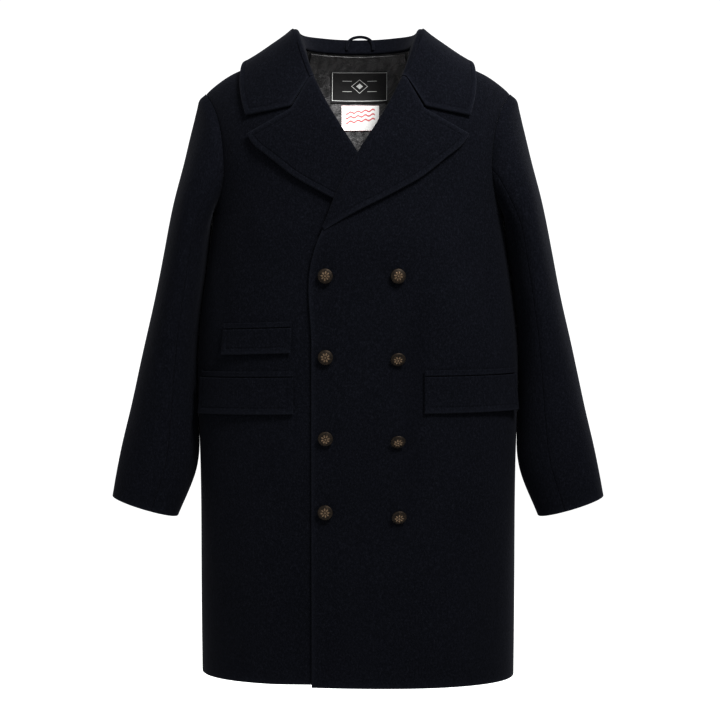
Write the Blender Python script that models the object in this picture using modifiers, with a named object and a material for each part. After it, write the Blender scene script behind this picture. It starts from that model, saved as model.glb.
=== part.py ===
"""Double-breasted long coat, filled out with no wearer.

Metres in the scene, millimetres in the tables below.  +Z is up, the front faces -Y and +X is the
wearer's left.  The origin is the centre of the neck opening at the height of the shoulder-neck points.

The body is one smooth form: level sections, each a superellipse with its own half-width and its own
depth to the front and to the back, closed above by a shoulder ridge.  Every panel is a wall on that
form.  What lies on a panel (lapel, collar, welt, flap) is made from the same points, moved out.
"""

from collections import namedtuple
from math import cos, pi, radians, sin

import bmesh
import bpy
import numpy as np
from mathutils import Matrix, Vector

MM = 0.001

# ------------------------------------------------------------------ driving sizes (mm)
CLOTH = 3.0            # wall of the heavy wool with its backing
LAPEL_CLOTH = 4.5      # two layers and the canvas
COLLAR_CLOTH = 5.0
FLAP_CLOTH = 3.6
WELT_CLOTH = 1.6
LINING_CLOTH = 1.2
LABEL_CLOTH = 0.8
SEAM_GAP = 0.4         # between two pieces sewn edge to edge
LAY_GAP = 0.4          # between two pieces that lie on each other
PATCH_GAP = 0.95       # under a welt, a flap or a lapel, whose facets differ from the panel's
LINING_GAP = 2.8       # between the back's inner facets and the lining

UNDERARM_Z = -235.0
SHOULDER_X, SHOULDER_Z = 226.0, -54.0    # where the sleeve head starts
NECK_X, NECK_Z = 85.0, 18.0              # the shoulder-neck point
NECK_BACK_Y = 75.0                       # the back neck seam behind the origin
HEM_OVER_Z, HEM_UNDER_Z = -917.0, -912.0    # hem at the two front edges
HEM_LEFT_Z, HEM_RIGHT_Z = -924.0, -918.0    # hem at the two side seams
LAP_X = 67.0                             # each front passes the centre by this much
LAP_TOP_Z = -302.0                       # the front edge is straight below here

SECTION_POWER = 2.25   # 2 is an ellipse, more is squarer
RIDGE_POWER = 1.9      # how softly front and back turn over the shoulder ridge
RIDGE_FRONT = 150.0    # height over which the front turns into the ridge
RIDGE_BACK = 100.0
NECK_POWER = 2.2       # roundness of the back neck seam, seen from above

COLUMNS = 11           # across each front, and across each half back outside the neck
NECK_COLUMNS = 6       # across each half of the back neck
BODY_ROWS = 15         # hem to underarm
ARM_ROWS = 12          # underarm to shoulder, and half round the sleeve
SLEEVE_ROWS = 17
LAPEL_COLUMNS = 13
NECK_POINTS = 8        # of each half of the line that the collar turns over, from which
COLLAR_COLUMNS = 18    # columns are spaced evenly over half the collar
FRONT_SEAM_STEP = 7    # sleeve seam, in steps of half a turn over ARM_ROWS from the outer line

BodySection = namedtuple("BodySection", "z half_width front back")
BODY = (
    BodySection(-930, 235.0, 134, 128),
    BodySection(-780, 235.5, 133, 126),
    BodySection(-600, 236.5, 131, 124),
    BodySection(-510, 239.0, 130, 123),
    BodySection(-434, 239.0, 130, 122),
    BodySection(-360, 232.5, 130, 122),
    BodySection(-285, 221.5, 129, 122),
    BodySection(-235, 216.0, 127, 122),
    BodySection(-150, 218.0, 123, 122),
    BodySection(-60, 231.0, 112, 119),
    BodySection(30, 241.0, 100, 114),
)

RidgePoint = namedtuple("RidgePoint", "x z")
RIDGE = (
    RidgePoint(0, 40), RidgePoint(30, 38), RidgePoint(60, 30), RidgePoint(NECK_X, NECK_Z),
    RidgePoint(125, 3), RidgePoint(165, -15), RidgePoint(193, -28.5), RidgePoint(205, -36.5),
    RidgePoint(216, -45), RidgePoint(SHOULDER_X, SHOULDER_Z), RidgePoint(245, -75),
)

ArmPoint = namedtuple("ArmPoint", "z front_x back_x")
ARMHOLE = (
    ArmPoint(UNDERARM_Z, 216.0, 216.0),
    ArmPoint(-204, 201.5, 206.5),
    ArmPoint(-174, 196.0, 203.5),
    ArmPoint(-142, 197.0, 203.5),
    ArmPoint(-103, 203.0, 207.5),
    ArmPoint(-75, 213.0, 215.0),
    ArmPoint(SHOULDER_Z, SHOULDER_X, SHOULDER_X),
)

# The line where a front turns back into its lapel, then its free edge down to the hem.
RollPoint = namedtuple("RollPoint", "z x")
ROLL = (
    RollPoint(-940, -LAP_X), RollPoint(-420, -LAP_X), RollPoint(LAP_TOP_Z, -66.5), RollPoint(-267, -55),
    RollPoint(-236, -40), RollPoint(-202, -24), RollPoint(-142, 9), RollPoint(-111, 29),
    RollPoint(-66, 55), RollPoint(-26, 73), RollPoint(NECK_Z, NECK_X),
)
GORGE_Z = -38.0        # where the collar meets the lapel on the roll line
LAPEL_FOOT_Z = -244.0  # where the lapel runs out into the front edge

SleeveRib = namedtuple("SleeveRib", "s outer_x outer_z inner_x inner_z depth y")
SLEEVE = (
    SleeveRib(0.00, SHOULDER_X, SHOULDER_Z, 216.0, UNDERARM_Z, 127, 0),
    SleeveRib(0.06, 236.5, -67, 218.0, -242, 142, 3),
    SleeveRib(0.13, 246.5, -103, 219.0, -253, 154, 6),
    SleeveRib(0.22, 259.5, -155, 220.0, -273, 162, 10),
    SleeveRib(0.32, 274.5, -212, 222.5, -303, 165, 12),
    SleeveRib(0.44, 289.5, -286, 228.5, -350, 163, 11),
    SleeveRib(0.55, 304.5, -360, 235.0, -406, 157, 8),
    SleeveRib(0.67, 321.0, -434, 237.5, -472, 146, 3),
    SleeveRib(0.79, 337.5, -510, 237.0, -542, 131, -4),
    SleeveRib(0.90, 353.5, -580, 242.0, -612, 108, -13),
    SleeveRib(1.00, 367.0, -652, 269.5, -682, 84, -20),
)
SLEEVE_CLEAR = 1.2     # a sleeve is pressed to the body's side, just clear of it
SLEEVE_HEAD = 0.30     # share of the sleeve over which it is drawn to the armhole
HEAD_CROWDING = 1.15   # over 1, the rings lie closer together at the head, where the form turns

# Outer edge of a lapel from its foot to its tip, then its upper edge back to the notch (own side).
LAPEL_EDGE = ((-36, -247), (-18, -238), (52, -203), (90, -181), (124, -154), (150, -132), (158, -119))
LAPEL_TOP = ((127, -101.5), (94, -83))
# Lower edge of the collar from the notch to its tip, and its outer edge from the tip round to the back.
COLLAR_END = ((95, -95, -82), (128, -99, -83.5), (169, -91, -88))
COLLAR_EDGE = ((172.5, -78, -70), (173, -58, -51), (171, -30, -28), (165, 4, -15), (150, 48, -29),
               (115, 92, -46), (60, 111, -43), (0, 115, -40))
PATCH_ROWS = 7         # from the turned edge to the free one, on a lapel and on the collar
NOTCH_SHARES = (0, 3 / 7, 5 / 7, 1)    # shares across at which the end column bends: each is a row
LAPEL_BEND, COLLAR_BEND = 4, 6         # powers by which the bend fades away from the end
GORGE_GAP = 0.3        # lapel and collar each stop this far from the gorge seam
STAND_HEIGHT = 20.0
STAND_LEVEL = 0.62     # share of the collar's half length over which the stand keeps its height
STAND_FADE = 1.4       # power by which the fall comes down from the stand's height
FOLD_SINK = 0.2        # the fold's centre lies this far under the stand's height
RIDGE_EASE = 2.2       # the fall bridges the shoulder ridge,
RIDGE_EASE_Y = 34.0    # fading this far before and behind it
FOLD_RADIUS = 3.1
LAPEL_TURN, COLLAR_TURN = radians(72), radians(103.5)    # how far the cloth turns before it lies down
COLLAR_FOOT = 4.6      # how far the turned cloth reaches in beside the edge
LAPEL_FOOT = 2.2
FOLD_BESIDE = 3.5      # centre of the turned-in cloth, beside the edge that it turns over

# Largest soft folds of the over front: centre line in x, span in z, half-width and depth.
Fold = namedtuple("Fold", "x lean z_low z_high half_width depth")
FOLD_ARCH = 1.5        # power of the half sine along a fold
FOLDS = (
    Fold(80, 0.05, -640, -262, 20, 4.5),
    Fold(112, -0.10, -520, -170, 26, -3.0),
    Fold(-120, 0.06, -560, -250, 30, 2.0),
)

# The left front is carried out by the lapel that it covers, and the right one goes under its edge.
CARRIED = 5.8
CARRIED_X, CARRIED_X_FADE = 60.0, 65.0
CARRIED_LOW_Z, CARRIED_LOW_FADE = -335.0, 70.0
CARRIED_HIGH_Z, CARRIED_HIGH_FADE = -140.0, 50.0
UNDER_FROM, UNDER_FADE = -60.0, 50.0    # from the free edge's x: where it starts to go under, and over how far

Flap = namedtuple("Flap", "name side x_in arc top drop height curl")
FLAPS = (
    Flap("pocket_flap_right", -1, 93.0, 160.0, -468.0, 4.0, 53.0, 5.0),
    Flap("pocket_flap_left", 1, 95.0, 160.0, -467.0, 0.0, 53.0, 5.0),
    Flap("ticket_flap", -1, 95.5, 107.0, -396.5, 4.5, 36.5, 1.0),
)
FLAP_CELL = 19.0       # width of a flap's cells
CURL_AT_TOP = 0.35     # share of a corner's curl that the top edge has
WELT_HEIGHT = 9.0

BUTTON_DIAMETER = 22.0
BUTTON_STEPS = 14
DOME_BASE, DOME_RISE = 5.6, 3.0         # the dome is an ellipse of this rise over this height
DOME_TURNS = (0.0, 0.45, 0.9, 1.3)
# r and height of the back and the shank, from the rim down
BUTTON_BACK = ((11.0, 5.0), (10.34, 4.0), (3.4, 3.6), (2.6, 1.6), (2.6, 0.0), (0.0, 0.0))
Button = namedtuple("Button", "x z droop")
BUTTONS = (
    Button(-46, -322, 4), Button(-46, -438, 6), Button(-46, -554, 14), Button(-46.5, -661, 5),
    Button(57, -322, 6), Button(57, -439, 30), Button(57, -557, 34), Button(58.5, -666, 28),
)

# Columns and rows of the lining.  The labels cover whole cells of it, so they lie on its facets.
LINING_X = (-172, -140, -112, -86, -62, -43, -26, -6, 14, 33, 46, 62, 86, 112, 140, 172)
LINING_Z = (4, -7, -24, -41, -58, -62, -82, -101, -140, -180, -222, -262)
LINING_NECK_X = 74.0   # half width of the lining at the neck seam
LINING_STRAIGHT_X = 62.0    # columns within this run straight down, those beyond spread out,
LINING_SPREAD_Z = 150.0     # over this height
LINING_UNDER_SEAM = 8.0     # every row but the first keeps this far under the neck seam,
LINING_SEAM_X = 84.0        # which is followed out to this x
Label = namedtuple("Label", "name x_left x_right z_top z_low")
LABELS = (
    Label("label_dark", -43, 46, -7, -58),
    Label("label_pale", -26, 33, -62, -101),
)

LOOP_RADIUS = 2.0
LOOP_HALF_SPAN, LOOP_RISE, LOOP_X = 20.0, 28.0, 3.0
LOOP_ROUND = 0.6       # power of the arch: below 1 the sides stand steeper
LOOP_BOW = 1.6         # the arch's ends lie this far before its middle
LOOP_CLEAR = 1.3       # between the loop and the stand
LOOP_SINK = 2.0        # the ends start this far under the neck seam

WOOL = ("wool", (0.010, 0.011, 0.017, 1.0), 0.92, 0.0)
LINING = ("lining", (0.018, 0.018, 0.021, 1.0), 0.5, 0.0)
BRASS = ("antique_brass", (0.23, 0.15, 0.075, 1.0), 0.38, 1.0)
LABEL_DARK = ("label_dark", (0.006, 0.006, 0.008, 1.0), 0.7, 0.0)
LABEL_PALE = ("label_pale", (0.72, 0.71, 0.68, 1.0), 0.7, 0.0)


# ------------------------------------------------------------------ small helpers
def hermite(keys, values, at):
    """Smooth curve through a short table: cubic pieces whose slopes are those of the neighbours."""
    keys, values, at = (np.asarray(a, float) for a in (keys, values, at))
    slopes = np.gradient(values, keys)
    at = np.clip(at, keys[0], keys[-1])
    i = np.clip(np.searchsorted(keys, at, side="right") - 1, 0, len(keys) - 2)
    span = keys[i + 1] - keys[i]
    t = (at - keys[i]) / span
    return ((2 * t**3 - 3 * t**2 + 1) * values[i] + (t**3 - 2 * t**2 + t) * span * slopes[i]
            + (3 * t**2 - 2 * t**3) * values[i + 1] + (t**3 - t**2) * span * slopes[i + 1])


def column(table, name):
    """One column of a table of named rows."""
    return np.array([getattr(row, name) for row in table], float)


def ease(t):
    """Smooth step from 0 to 1."""
    t = np.clip(t, 0.0, 1.0)
    return t * t * (3 - 2 * t)


def unit(v):
    """Vectors scaled to length 1."""
    return v / np.maximum(np.linalg.norm(v, axis=-1, keepdims=True), 1e-9)


def stack(x, y, z):
    """Points from three arrays of one shape, or that broadcast to one."""
    return np.stack(np.broadcast_arrays(x, y, z), axis=-1).astype(float)


def flip(points, side):
    """Points or directions mirrored in x for side -1."""
    return points * np.array([side, 1.0, 1.0])


def side_word(side):
    """The side's name in the names of pieces."""
    return "left" if side > 0 else "right"


def bent_edge(shares, corners):
    """Points at shares 0..1 along a line whose corners lie at NOTCH_SHARES."""
    return np.stack([np.interp(shares, NOTCH_SHARES, corners[:, k]) for k in range(corners.shape[1])], axis=-1)


def along(points, fractions):
    """Points at the given fractions of a polyline's length, on a smooth curve through its corners."""
    points = np.asarray(points, float)
    length = np.concatenate([[0], np.cumsum(np.linalg.norm(np.diff(points, axis=0), axis=1))])
    return np.stack([hermite(length / length[-1], points[:, k], fractions)
                     for k in range(points.shape[1])], axis=-1)


# ------------------------------------------------------------------ the body's form
def body_size(name, z):
    """A size of the level section at z."""
    return hermite(column(BODY, "z"), column(BODY, name), z)


def ridge_z(x):
    """Height of the shoulder ridge at x."""
    return hermite(column(RIDGE, "x"), column(RIDGE, "z"), np.abs(x))


def roll_x(z):
    """x of the roll line and of the free front edge at z."""
    return hermite(column(ROLL, "z"), column(ROLL, "x"), z)


def armhole_x(z, which):
    """x of the armhole at z, on the front or the back."""
    return hermite(column(ARMHOLE, "z"), column(ARMHOLE, which), z)


def side_curve(x, z):
    """Share of the full depth that is left at x: 1 at the centre, 0 at the side."""
    t = np.clip(np.abs(x) / body_size("half_width", z), 0.0, 1.0)
    return (1 - t**SECTION_POWER) ** (1 / SECTION_POWER)


def ridge_curve(x, z, height):
    """Share of the depth that is left near the shoulder ridge: 0 on it, 1 from `height` below it."""
    t = np.clip((ridge_z(x) - z) / height, 0.0, 1.0)
    return (1 - (1 - t) ** RIDGE_POWER) ** (1 / RIDGE_POWER)


def body_point(angle, z):
    """Point of the outer cloth; angle 0 is the centre front, a quarter turn is the side seam."""
    power = 2 / SECTION_POWER
    s, c = np.sin(angle), np.cos(angle)
    x = body_size("half_width", z) * np.sign(s) * np.abs(s) ** power
    front = body_size("front", z) * ridge_curve(x, z, RIDGE_FRONT)
    back = body_size("back", z) * ridge_curve(x, z, RIDGE_BACK)
    return stack(x, np.where(c >= 0, -front, back) * np.abs(c) ** power, z)


def body_angle(x, z, back=False):
    """The angle of the point at x on the front or the back."""
    t = np.clip(np.abs(x) / body_size("half_width", z), 0.0, 1.0)
    angle = np.arcsin(t ** (SECTION_POWER / 2))
    return np.where(back, pi - angle, angle) * np.where(np.asarray(x) < 0, -1, 1)


def body_normal(angle, z):
    """Direction out of the cloth."""
    across = body_point(angle + 0.002, z) - body_point(angle - 0.002, z)
    up = body_point(angle, z + 0.5) - body_point(angle, z - 0.5)
    return unit(np.cross(across, up))


def ridge_normal(x):
    """Direction square to the shoulder ridge, seen from the front."""
    slope = ridge_z(x + 0.5) - ridge_z(x - 0.5)
    return unit(stack(-slope, 0.0, 1.0))


def outside(points):
    """Distance above the yoke and chest (to first order) and the direction away from them."""
    def level(p):
        x, y, z = p[..., 0], p[..., 1], p[..., 2]
        depth = np.where(y < 0, body_size("front", z), body_size("back", z)) * side_curve(x, z)
        height = np.where(y < 0, RIDGE_FRONT, RIDGE_BACK)
        rise = np.clip((z - ridge_z(x) + height) / height, 0.0, None)
        flat = np.abs(y) / np.maximum(depth, 1.0)
        return (flat**RIDGE_POWER + rise**RIDGE_POWER) ** (1 / RIDGE_POWER)

    step = np.eye(3) * 0.5
    slope = np.stack([level(points + step[k]) - level(points - step[k]) for k in range(3)], axis=-1)
    size = np.maximum(np.linalg.norm(slope, axis=-1), 1e-9)
    return (level(points) - 1) / size, slope / size[..., None]


def lift_to(points, distance):
    """Move points along the form's own direction until they lie `distance` above it."""
    for _ in range(6):
        now, away = outside(points)
        points = points + (distance - now)[..., None] * away
    return points


# ------------------------------------------------------------------ layers of the two fronts
def fold_depth(x, z):
    """How far the soft folds push the front in (minus is out)."""
    total = np.zeros(np.broadcast(x, z).shape)
    for fold in FOLDS:
        middle = fold.x + fold.lean * (z - fold.z_high)
        reach = (z - fold.z_low) / (fold.z_high - fold.z_low)
        share = np.where((reach > 0) & (reach < 1), np.sin(pi * np.clip(reach, 0, 1)) ** FOLD_ARCH, 0.0)
        total = total + fold.depth * share * np.exp(-((x - middle) / fold.half_width) ** 2)
    return total


def over_offset(x, z):
    """The left front: carried out by the lapel that it covers, and pushed in by its folds."""
    beside = 1 - ease((x - CARRIED_X) / CARRIED_X_FADE)
    below, above = ease((z - CARRIED_LOW_Z) / CARRIED_LOW_FADE), ease((z - CARRIED_HIGH_Z) / CARRIED_HIGH_FADE)
    return CARRIED * beside * below * (1 - above) - fold_depth(x, z)


def under_offset(x, z):
    """The right front: it goes under the left one behind that one's edge."""
    under = ease((x - roll_x(z) - UNDER_FROM) / UNDER_FADE)
    covered = CLOTH + 2 * LAY_GAP
    return -(covered + fold_depth(x, z)) * under - fold_depth(x, z) * (1 - under)


def front_offset(side, x, z):
    """How far the front of a side lies out of the form."""
    return over_offset(x, z) if side > 0 else under_offset(x, z)


# ------------------------------------------------------------------ meshes
def material(spec):
    """The material of a spec: name, colour, roughness, metallic value."""
    name, colour, roughness, metallic = spec
    made = bpy.data.materials.get(name)
    if made is None:
        made = bpy.data.materials.new(name)
        made.use_nodes = True
        shader = made.node_tree.nodes["Principled BSDF"]
        shader.inputs["Base Color"].default_value = colour
        shader.inputs["Roughness"].default_value = roughness
        shader.inputs["Metallic"].default_value = metallic
    return made


def add_object(name, mesh, spec, collection):
    """A named piece with its own material."""
    mesh.materials.clear()
    own = material(spec).copy()
    own.name = name
    mesh.materials.append(own)
    piece = bpy.data.objects.new(name, mesh)
    collection.objects.link(piece)
    return piece


def wall(name, outer, inner, spec, collection):
    """A closed wall between two grids of points, rows by columns, with its four edges closed."""
    rows, columns = outer.shape[:2]
    index = np.arange(rows * columns).reshape(rows, columns)
    back = index + rows * columns

    def strips(grid):
        """Quads of a grid."""
        return np.stack([grid[:-1, :-1], grid[:-1, 1:], grid[1:, 1:], grid[1:, :-1]], axis=-1).reshape(-1, 4)

    rim = np.concatenate([index[0, :], index[1:, -1], index[-1, -2::-1], index[-2:0:-1, 0]])
    rim_back = rim + rows * columns
    # Each edge cell is cut from its lower outer corner, so two walls that meet are cut alike.
    ahead, ahead_back = np.roll(rim, -1), np.roll(rim_back, -1)
    rising = (rim < ahead)[:, None]
    edge = np.concatenate([
        np.where(rising, np.stack([rim, ahead_back, ahead], -1), np.stack([rim, rim_back, ahead], -1)),
        np.where(rising, np.stack([rim, rim_back, ahead_back], -1), np.stack([ahead, rim_back, ahead_back], -1))])
    faces = np.concatenate([strips(index), strips(back)[:, ::-1]]).tolist() + edge.tolist()
    points = np.concatenate([outer.reshape(-1, 3), inner.reshape(-1, 3)]) * MM

    mesh = bpy.data.meshes.new(name)
    mesh.from_pydata(points.tolist(), [], faces)
    work = bmesh.new()
    work.from_mesh(mesh)
    bmesh.ops.recalc_face_normals(work, faces=work.faces)
    work.to_mesh(mesh)
    work.free()
    mesh.shade_smooth()
    mesh.set_sharp_from_angle(angle=radians(50))
    return add_object(name, mesh, spec, collection)


def part_seams(outer, inner, edges):
    """Draw the named edges of a grid back by half the seam gap, along the cloth."""
    pairs = {"first_row": (np.s_[0], np.s_[1]), "last_row": (np.s_[-1], np.s_[-2]),
             "first_column": (np.s_[:, 0], np.s_[:, 1]), "last_column": (np.s_[:, -1], np.s_[:, -2])}
    outer, inner = outer.copy(), inner.copy()
    for edge in edges:
        at, towards = pairs[edge]
        shift = unit(outer[towards] - outer[at]) * SEAM_GAP / 2
        outer[at] += shift
        inner[at] += shift
    return outer, inner


# ------------------------------------------------------------------ body panels
def arm_levels():
    """Heights of the armhole's points, from the underarm up to the shoulder."""
    return UNDERARM_Z + (SHOULDER_Z - UNDERARM_Z) * (1 - np.cos(pi * np.arange(ARM_ROWS + 1) / ARM_ROWS)) / 2


def across(x_in, x_out, z, share):
    """Places across a panel at shares 0..1, evenly round the section between two x values."""
    start = np.where(x_in < 0, -1, 1) * body_angle(np.abs(x_in), z)
    end = body_angle(x_out, z)
    angle = start + (end - start) * share
    return body_size("half_width", z) * np.sign(angle) * np.abs(np.sin(angle)) ** (2 / SECTION_POWER)


def front_places(hem_in, hem_out):
    """x and z of every point of a front, on its own side (x grows towards the side seam)."""
    share = np.linspace(0, 1, COLUMNS + 1)
    hem = hem_in + (hem_out - hem_in) * share
    level = np.linspace(0, 1, BODY_ROWS + 1)[:-1, None]
    low_z = hem + (UNDERARM_Z - hem) * level
    low_x = across(roll_x(low_z), body_size("half_width", low_z), low_z, share)

    side_z = arm_levels()[:, None]
    climb = (side_z - UNDERARM_Z) / (SHOULDER_Z - UNDERARM_Z)
    top_x = across(np.array(NECK_X), np.array(SHOULDER_X), np.array(SHOULDER_Z), share)
    high_z = UNDERARM_Z + (ridge_z(top_x) - UNDERARM_Z) * climb
    high_x = across(roll_x(high_z[:, :1]), armhole_x(side_z, "front_x"), side_z, share)
    return np.vstack([low_x, high_x]), np.vstack([low_z, high_z])


def back_places(hem_left, hem_right):
    """x and z of every point of the back, from the wearer's right side seam to the left one."""
    share = np.linspace(0, 1, COLUMNS + 1)
    top_x = across(np.array(NECK_X), np.array(SHOULDER_X), np.array(SHOULDER_Z), share)
    turn = np.linspace(0, pi / 2, NECK_COLUMNS + 1)[:-1]
    neck_x = NECK_X * np.sin(turn) ** (2 / NECK_POWER)
    top_x = np.concatenate([neck_x, top_x])
    top_z = np.concatenate([neck_seam_z(neck_x), ridge_z(top_x[NECK_COLUMNS:])])
    share = np.linspace(0, 1, len(top_x))

    level = np.linspace(0, 1, BODY_ROWS + 1)[:-1, None]
    halves = []
    for hem_side in (hem_right, hem_left):
        hem = (hem_left + hem_right) / 2 + (hem_side - (hem_left + hem_right) / 2) * share
        low_z = hem + (UNDERARM_Z - hem) * level
        low_x = across(np.zeros_like(low_z), body_size("half_width", low_z), low_z, share)
        side_z = arm_levels()[:, None]
        side_x = armhole_x(side_z, "back_x")
        climb = (side_z - UNDERARM_Z) / (SHOULDER_Z - UNDERARM_Z)
        high_z = UNDERARM_Z + (top_z - UNDERARM_Z) * climb
        even = across(np.zeros_like(side_z), side_x, side_z, share)
        high_x = even + (top_x * side_x / SHOULDER_X - even) * climb
        halves.append((np.vstack([low_x, high_x]), np.vstack([low_z, high_z])))
    right, left = halves
    x = np.hstack([-right[0][:, :0:-1], left[0]])
    z = np.hstack([right[1][:, :0:-1], left[1]])
    return x, z


def neck_seam_z(x):
    """Height of the back neck seam at x, so that it lies on the back and is round from above."""
    y = neck_seam_y(x)
    z = ridge_z(x)
    for _ in range(8):
        depth = body_size("back", z) * side_curve(x, z)
        share = np.clip(y / depth, 0.0, 1.0)
        z = ridge_z(x) - RIDGE_BACK * (1 - (1 - share**RIDGE_POWER) ** (1 / RIDGE_POWER))
    return z


def neck_seam_y(x):
    """Depth of the back neck seam at x: a superellipse through the two neck points."""
    share = np.clip(np.abs(x) / NECK_X, 0, 1) ** NECK_POWER
    return NECK_BACK_Y * (1 - share) ** (1 / NECK_POWER)


def panel(x, z, back):
    """Base points of a body panel and the direction of its thickness."""
    angle = body_angle(x, z, back)
    base, away = body_point(angle, z), body_normal(angle, z)
    on_ridge = np.abs(x[-1]) >= NECK_X - 0.01
    away[-1] = np.where(on_ridge[:, None], ridge_normal(x[-1]), away[-1])
    base[-1, :, 1] = np.where(on_ridge, 0.0, base[-1, :, 1])
    return base, away


# ------------------------------------------------------------------ sleeves
def sleeve_surface(loop):
    """Rings from the armhole to the cuff: ellipses on the ribs, drawn to the armhole at the head.

    The ring starts at the outer line and goes over the front, the inner line and the back.
    """
    turn = 2 * pi * np.arange(2 * ARM_ROWS) / (2 * ARM_ROWS)
    keys = column(SLEEVE, "s")
    s = np.linspace(0, 1, SLEEVE_ROWS) ** HEAD_CROWDING

    def ring(at):
        """Ellipses of the ribs at the shares given."""
        at = np.asarray(at)[:, None]
        outer_x, outer_z, inner_x, inner_z, depth, y = (
            hermite(keys, column(SLEEVE, name), at)
            for name in ("outer_x", "outer_z", "inner_x", "inner_z", "depth", "y"))
        middle_x, middle_z = (outer_x + inner_x) / 2, (outer_z + inner_z) / 2
        return stack(middle_x + np.cos(turn) * (outer_x - middle_x), y - np.sin(turn) * depth / 2,
                     middle_z + np.cos(turn) * (outer_z - middle_z))

    drawn = (1 - ease(s / SLEEVE_HEAD))[:, None, None]
    rings = ring(s) + drawn * (loop - ring(np.zeros(1)))
    pressed = rings[1:, :, 0]
    pressed[:] = np.where(rings[1:, :, 2] < UNDERARM_Z, np.maximum(pressed, beside_body(rings[1:])), pressed)
    return rings


def beside_body(points):
    """The x just clear of the body's side, at each point's own depth and height."""
    y, z = points[..., 1], points[..., 2]
    depth = np.where(y < 0, body_size("front", z), body_size("back", z))
    share = (1 - np.clip(np.abs(y) / depth, 0, 1) ** SECTION_POWER) ** (1 / SECTION_POWER)
    return body_size("half_width", z) * share + SLEEVE_CLEAR


def ring_normals(rings):
    """Direction out of a tube at every point of its rings."""
    round_ = np.roll(rings, -1, axis=1) - np.roll(rings, 1, axis=1)
    down = np.gradient(rings, axis=0)
    away = unit(np.cross(down, round_))
    middle = rings.mean(axis=1, keepdims=True)
    facing = np.sign((away[-1] * (rings[-1] - middle[-1])).sum())
    return away * facing


def build_sleeve(side, rings, away, collection):
    """Top and under sleeve of one side, cut from the same rings."""
    word = side_word(side)
    count = 2 * ARM_ROWS
    outer = flip(rings, side)
    inner = flip(rings - away * CLOTH, side)
    cuts = {"sleeve_top_" + word: np.arange(-FRONT_SEAM_STEP, FRONT_SEAM_STEP + 1),
            "sleeve_under_" + word: np.arange(FRONT_SEAM_STEP, count - FRONT_SEAM_STEP + 1)}
    for name, steps in cuts.items():
        pick = steps % count
        wall(name, *part_seams(outer[:, pick], inner[:, pick], ("first_row", "first_column", "last_column")),
             WOOL, collection)


# ------------------------------------------------------------------ body and sleeves together
def build_body(collection):
    """The back, both fronts and all sleeve pieces, whose walls share directions at the armholes."""
    back_x, back_z = back_places(HEM_LEFT_Z, HEM_RIGHT_Z)
    back_base, back_away = panel(back_x, back_z, True)
    fronts = {}
    for side, hems in ((1, (HEM_OVER_Z, HEM_LEFT_Z)), (-1, (HEM_UNDER_Z, HEM_RIGHT_Z))):
        x, z = front_places(*hems)
        fronts[side] = (x, z, *panel(x, z, False))

    # The armhole loop on the wearer's left, from the shoulder over the front and back up behind.
    base = fronts[1][2]
    front_edge = base[BODY_ROWS:, -1][::-1]
    back_edge = back_base[BODY_ROWS:, -1]
    loop = np.concatenate([front_edge, back_edge[1:-1]])
    rings = sleeve_surface(loop)
    away = ring_normals(rings)
    front_shared = unit(away[0, :ARM_ROWS + 1] + fronts[1][3][BODY_ROWS:, -1][::-1])
    back_shared = unit(np.roll(away[0], -ARM_ROWS, axis=0)[:ARM_ROWS + 1] + back_away[BODY_ROWS:, -1])
    shoulder = unit(front_shared[0] + back_shared[-1])
    underarm = unit(front_shared[-1] + back_shared[0])
    front_shared[0] = back_shared[-1] = shoulder
    front_shared[-1] = back_shared[0] = underarm
    away[0] = np.concatenate([front_shared, back_shared[1:-1]])

    for side, (x, z, base, direction) in fronts.items():
        direction = direction.copy()
        direction[BODY_ROWS:, -1] = front_shared[::-1]
        offset = front_offset(side, x * side, z)[..., None]
        offset[BODY_ROWS:, -1] = 0.0
        outer = flip(base + direction * offset, side)
        inner = flip(base + direction * (offset - CLOTH), side)
        edges = ("last_row", "last_column")
        wall("front_" + side_word(side), *part_seams(outer, inner, edges), WOOL, collection)
        build_sleeve(side, rings, away, collection)

    back_away[BODY_ROWS:, -1] = back_shared
    back_away[BODY_ROWS:, 0] = flip(back_shared, -1)
    edges = ("last_row", "first_column", "last_column")
    wall("back", *part_seams(back_base, back_base - back_away * CLOTH, edges), WOOL, collection)


# ------------------------------------------------------------------ collar and lapels
def fold_rows(seam, beside, up, foot, height, turn_end):
    """Rows of the cloth that rises beside an edge and starts to turn over it.

    seam, beside, up: a point, the direction past the edge and the direction out, for each column.
    """
    height = np.asarray(height)[:, None]
    rows = [seam + beside * FOLD_BESIDE - up * foot]
    for share in (0.5, 1.0):
        level = -foot + (height + foot) * share
        rows.append(seam + beside * FOLD_BESIDE + up * level)
    for turn in np.linspace(0, turn_end, 4)[1:]:
        rows.append(seam + beside * (FOLD_BESIDE - FOLD_RADIUS + FOLD_RADIUS * cos(turn))
                    + up * (height + FOLD_RADIUS * sin(turn)))
    return np.stack(rows)


def thick_sheet(middle, thickness):
    """Two grids half a thickness to either side of a middle surface."""
    away = unit(np.cross(np.gradient(middle, axis=0), np.gradient(middle, axis=1)))
    return middle + away * thickness / 2, middle - away * thickness / 2


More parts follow.
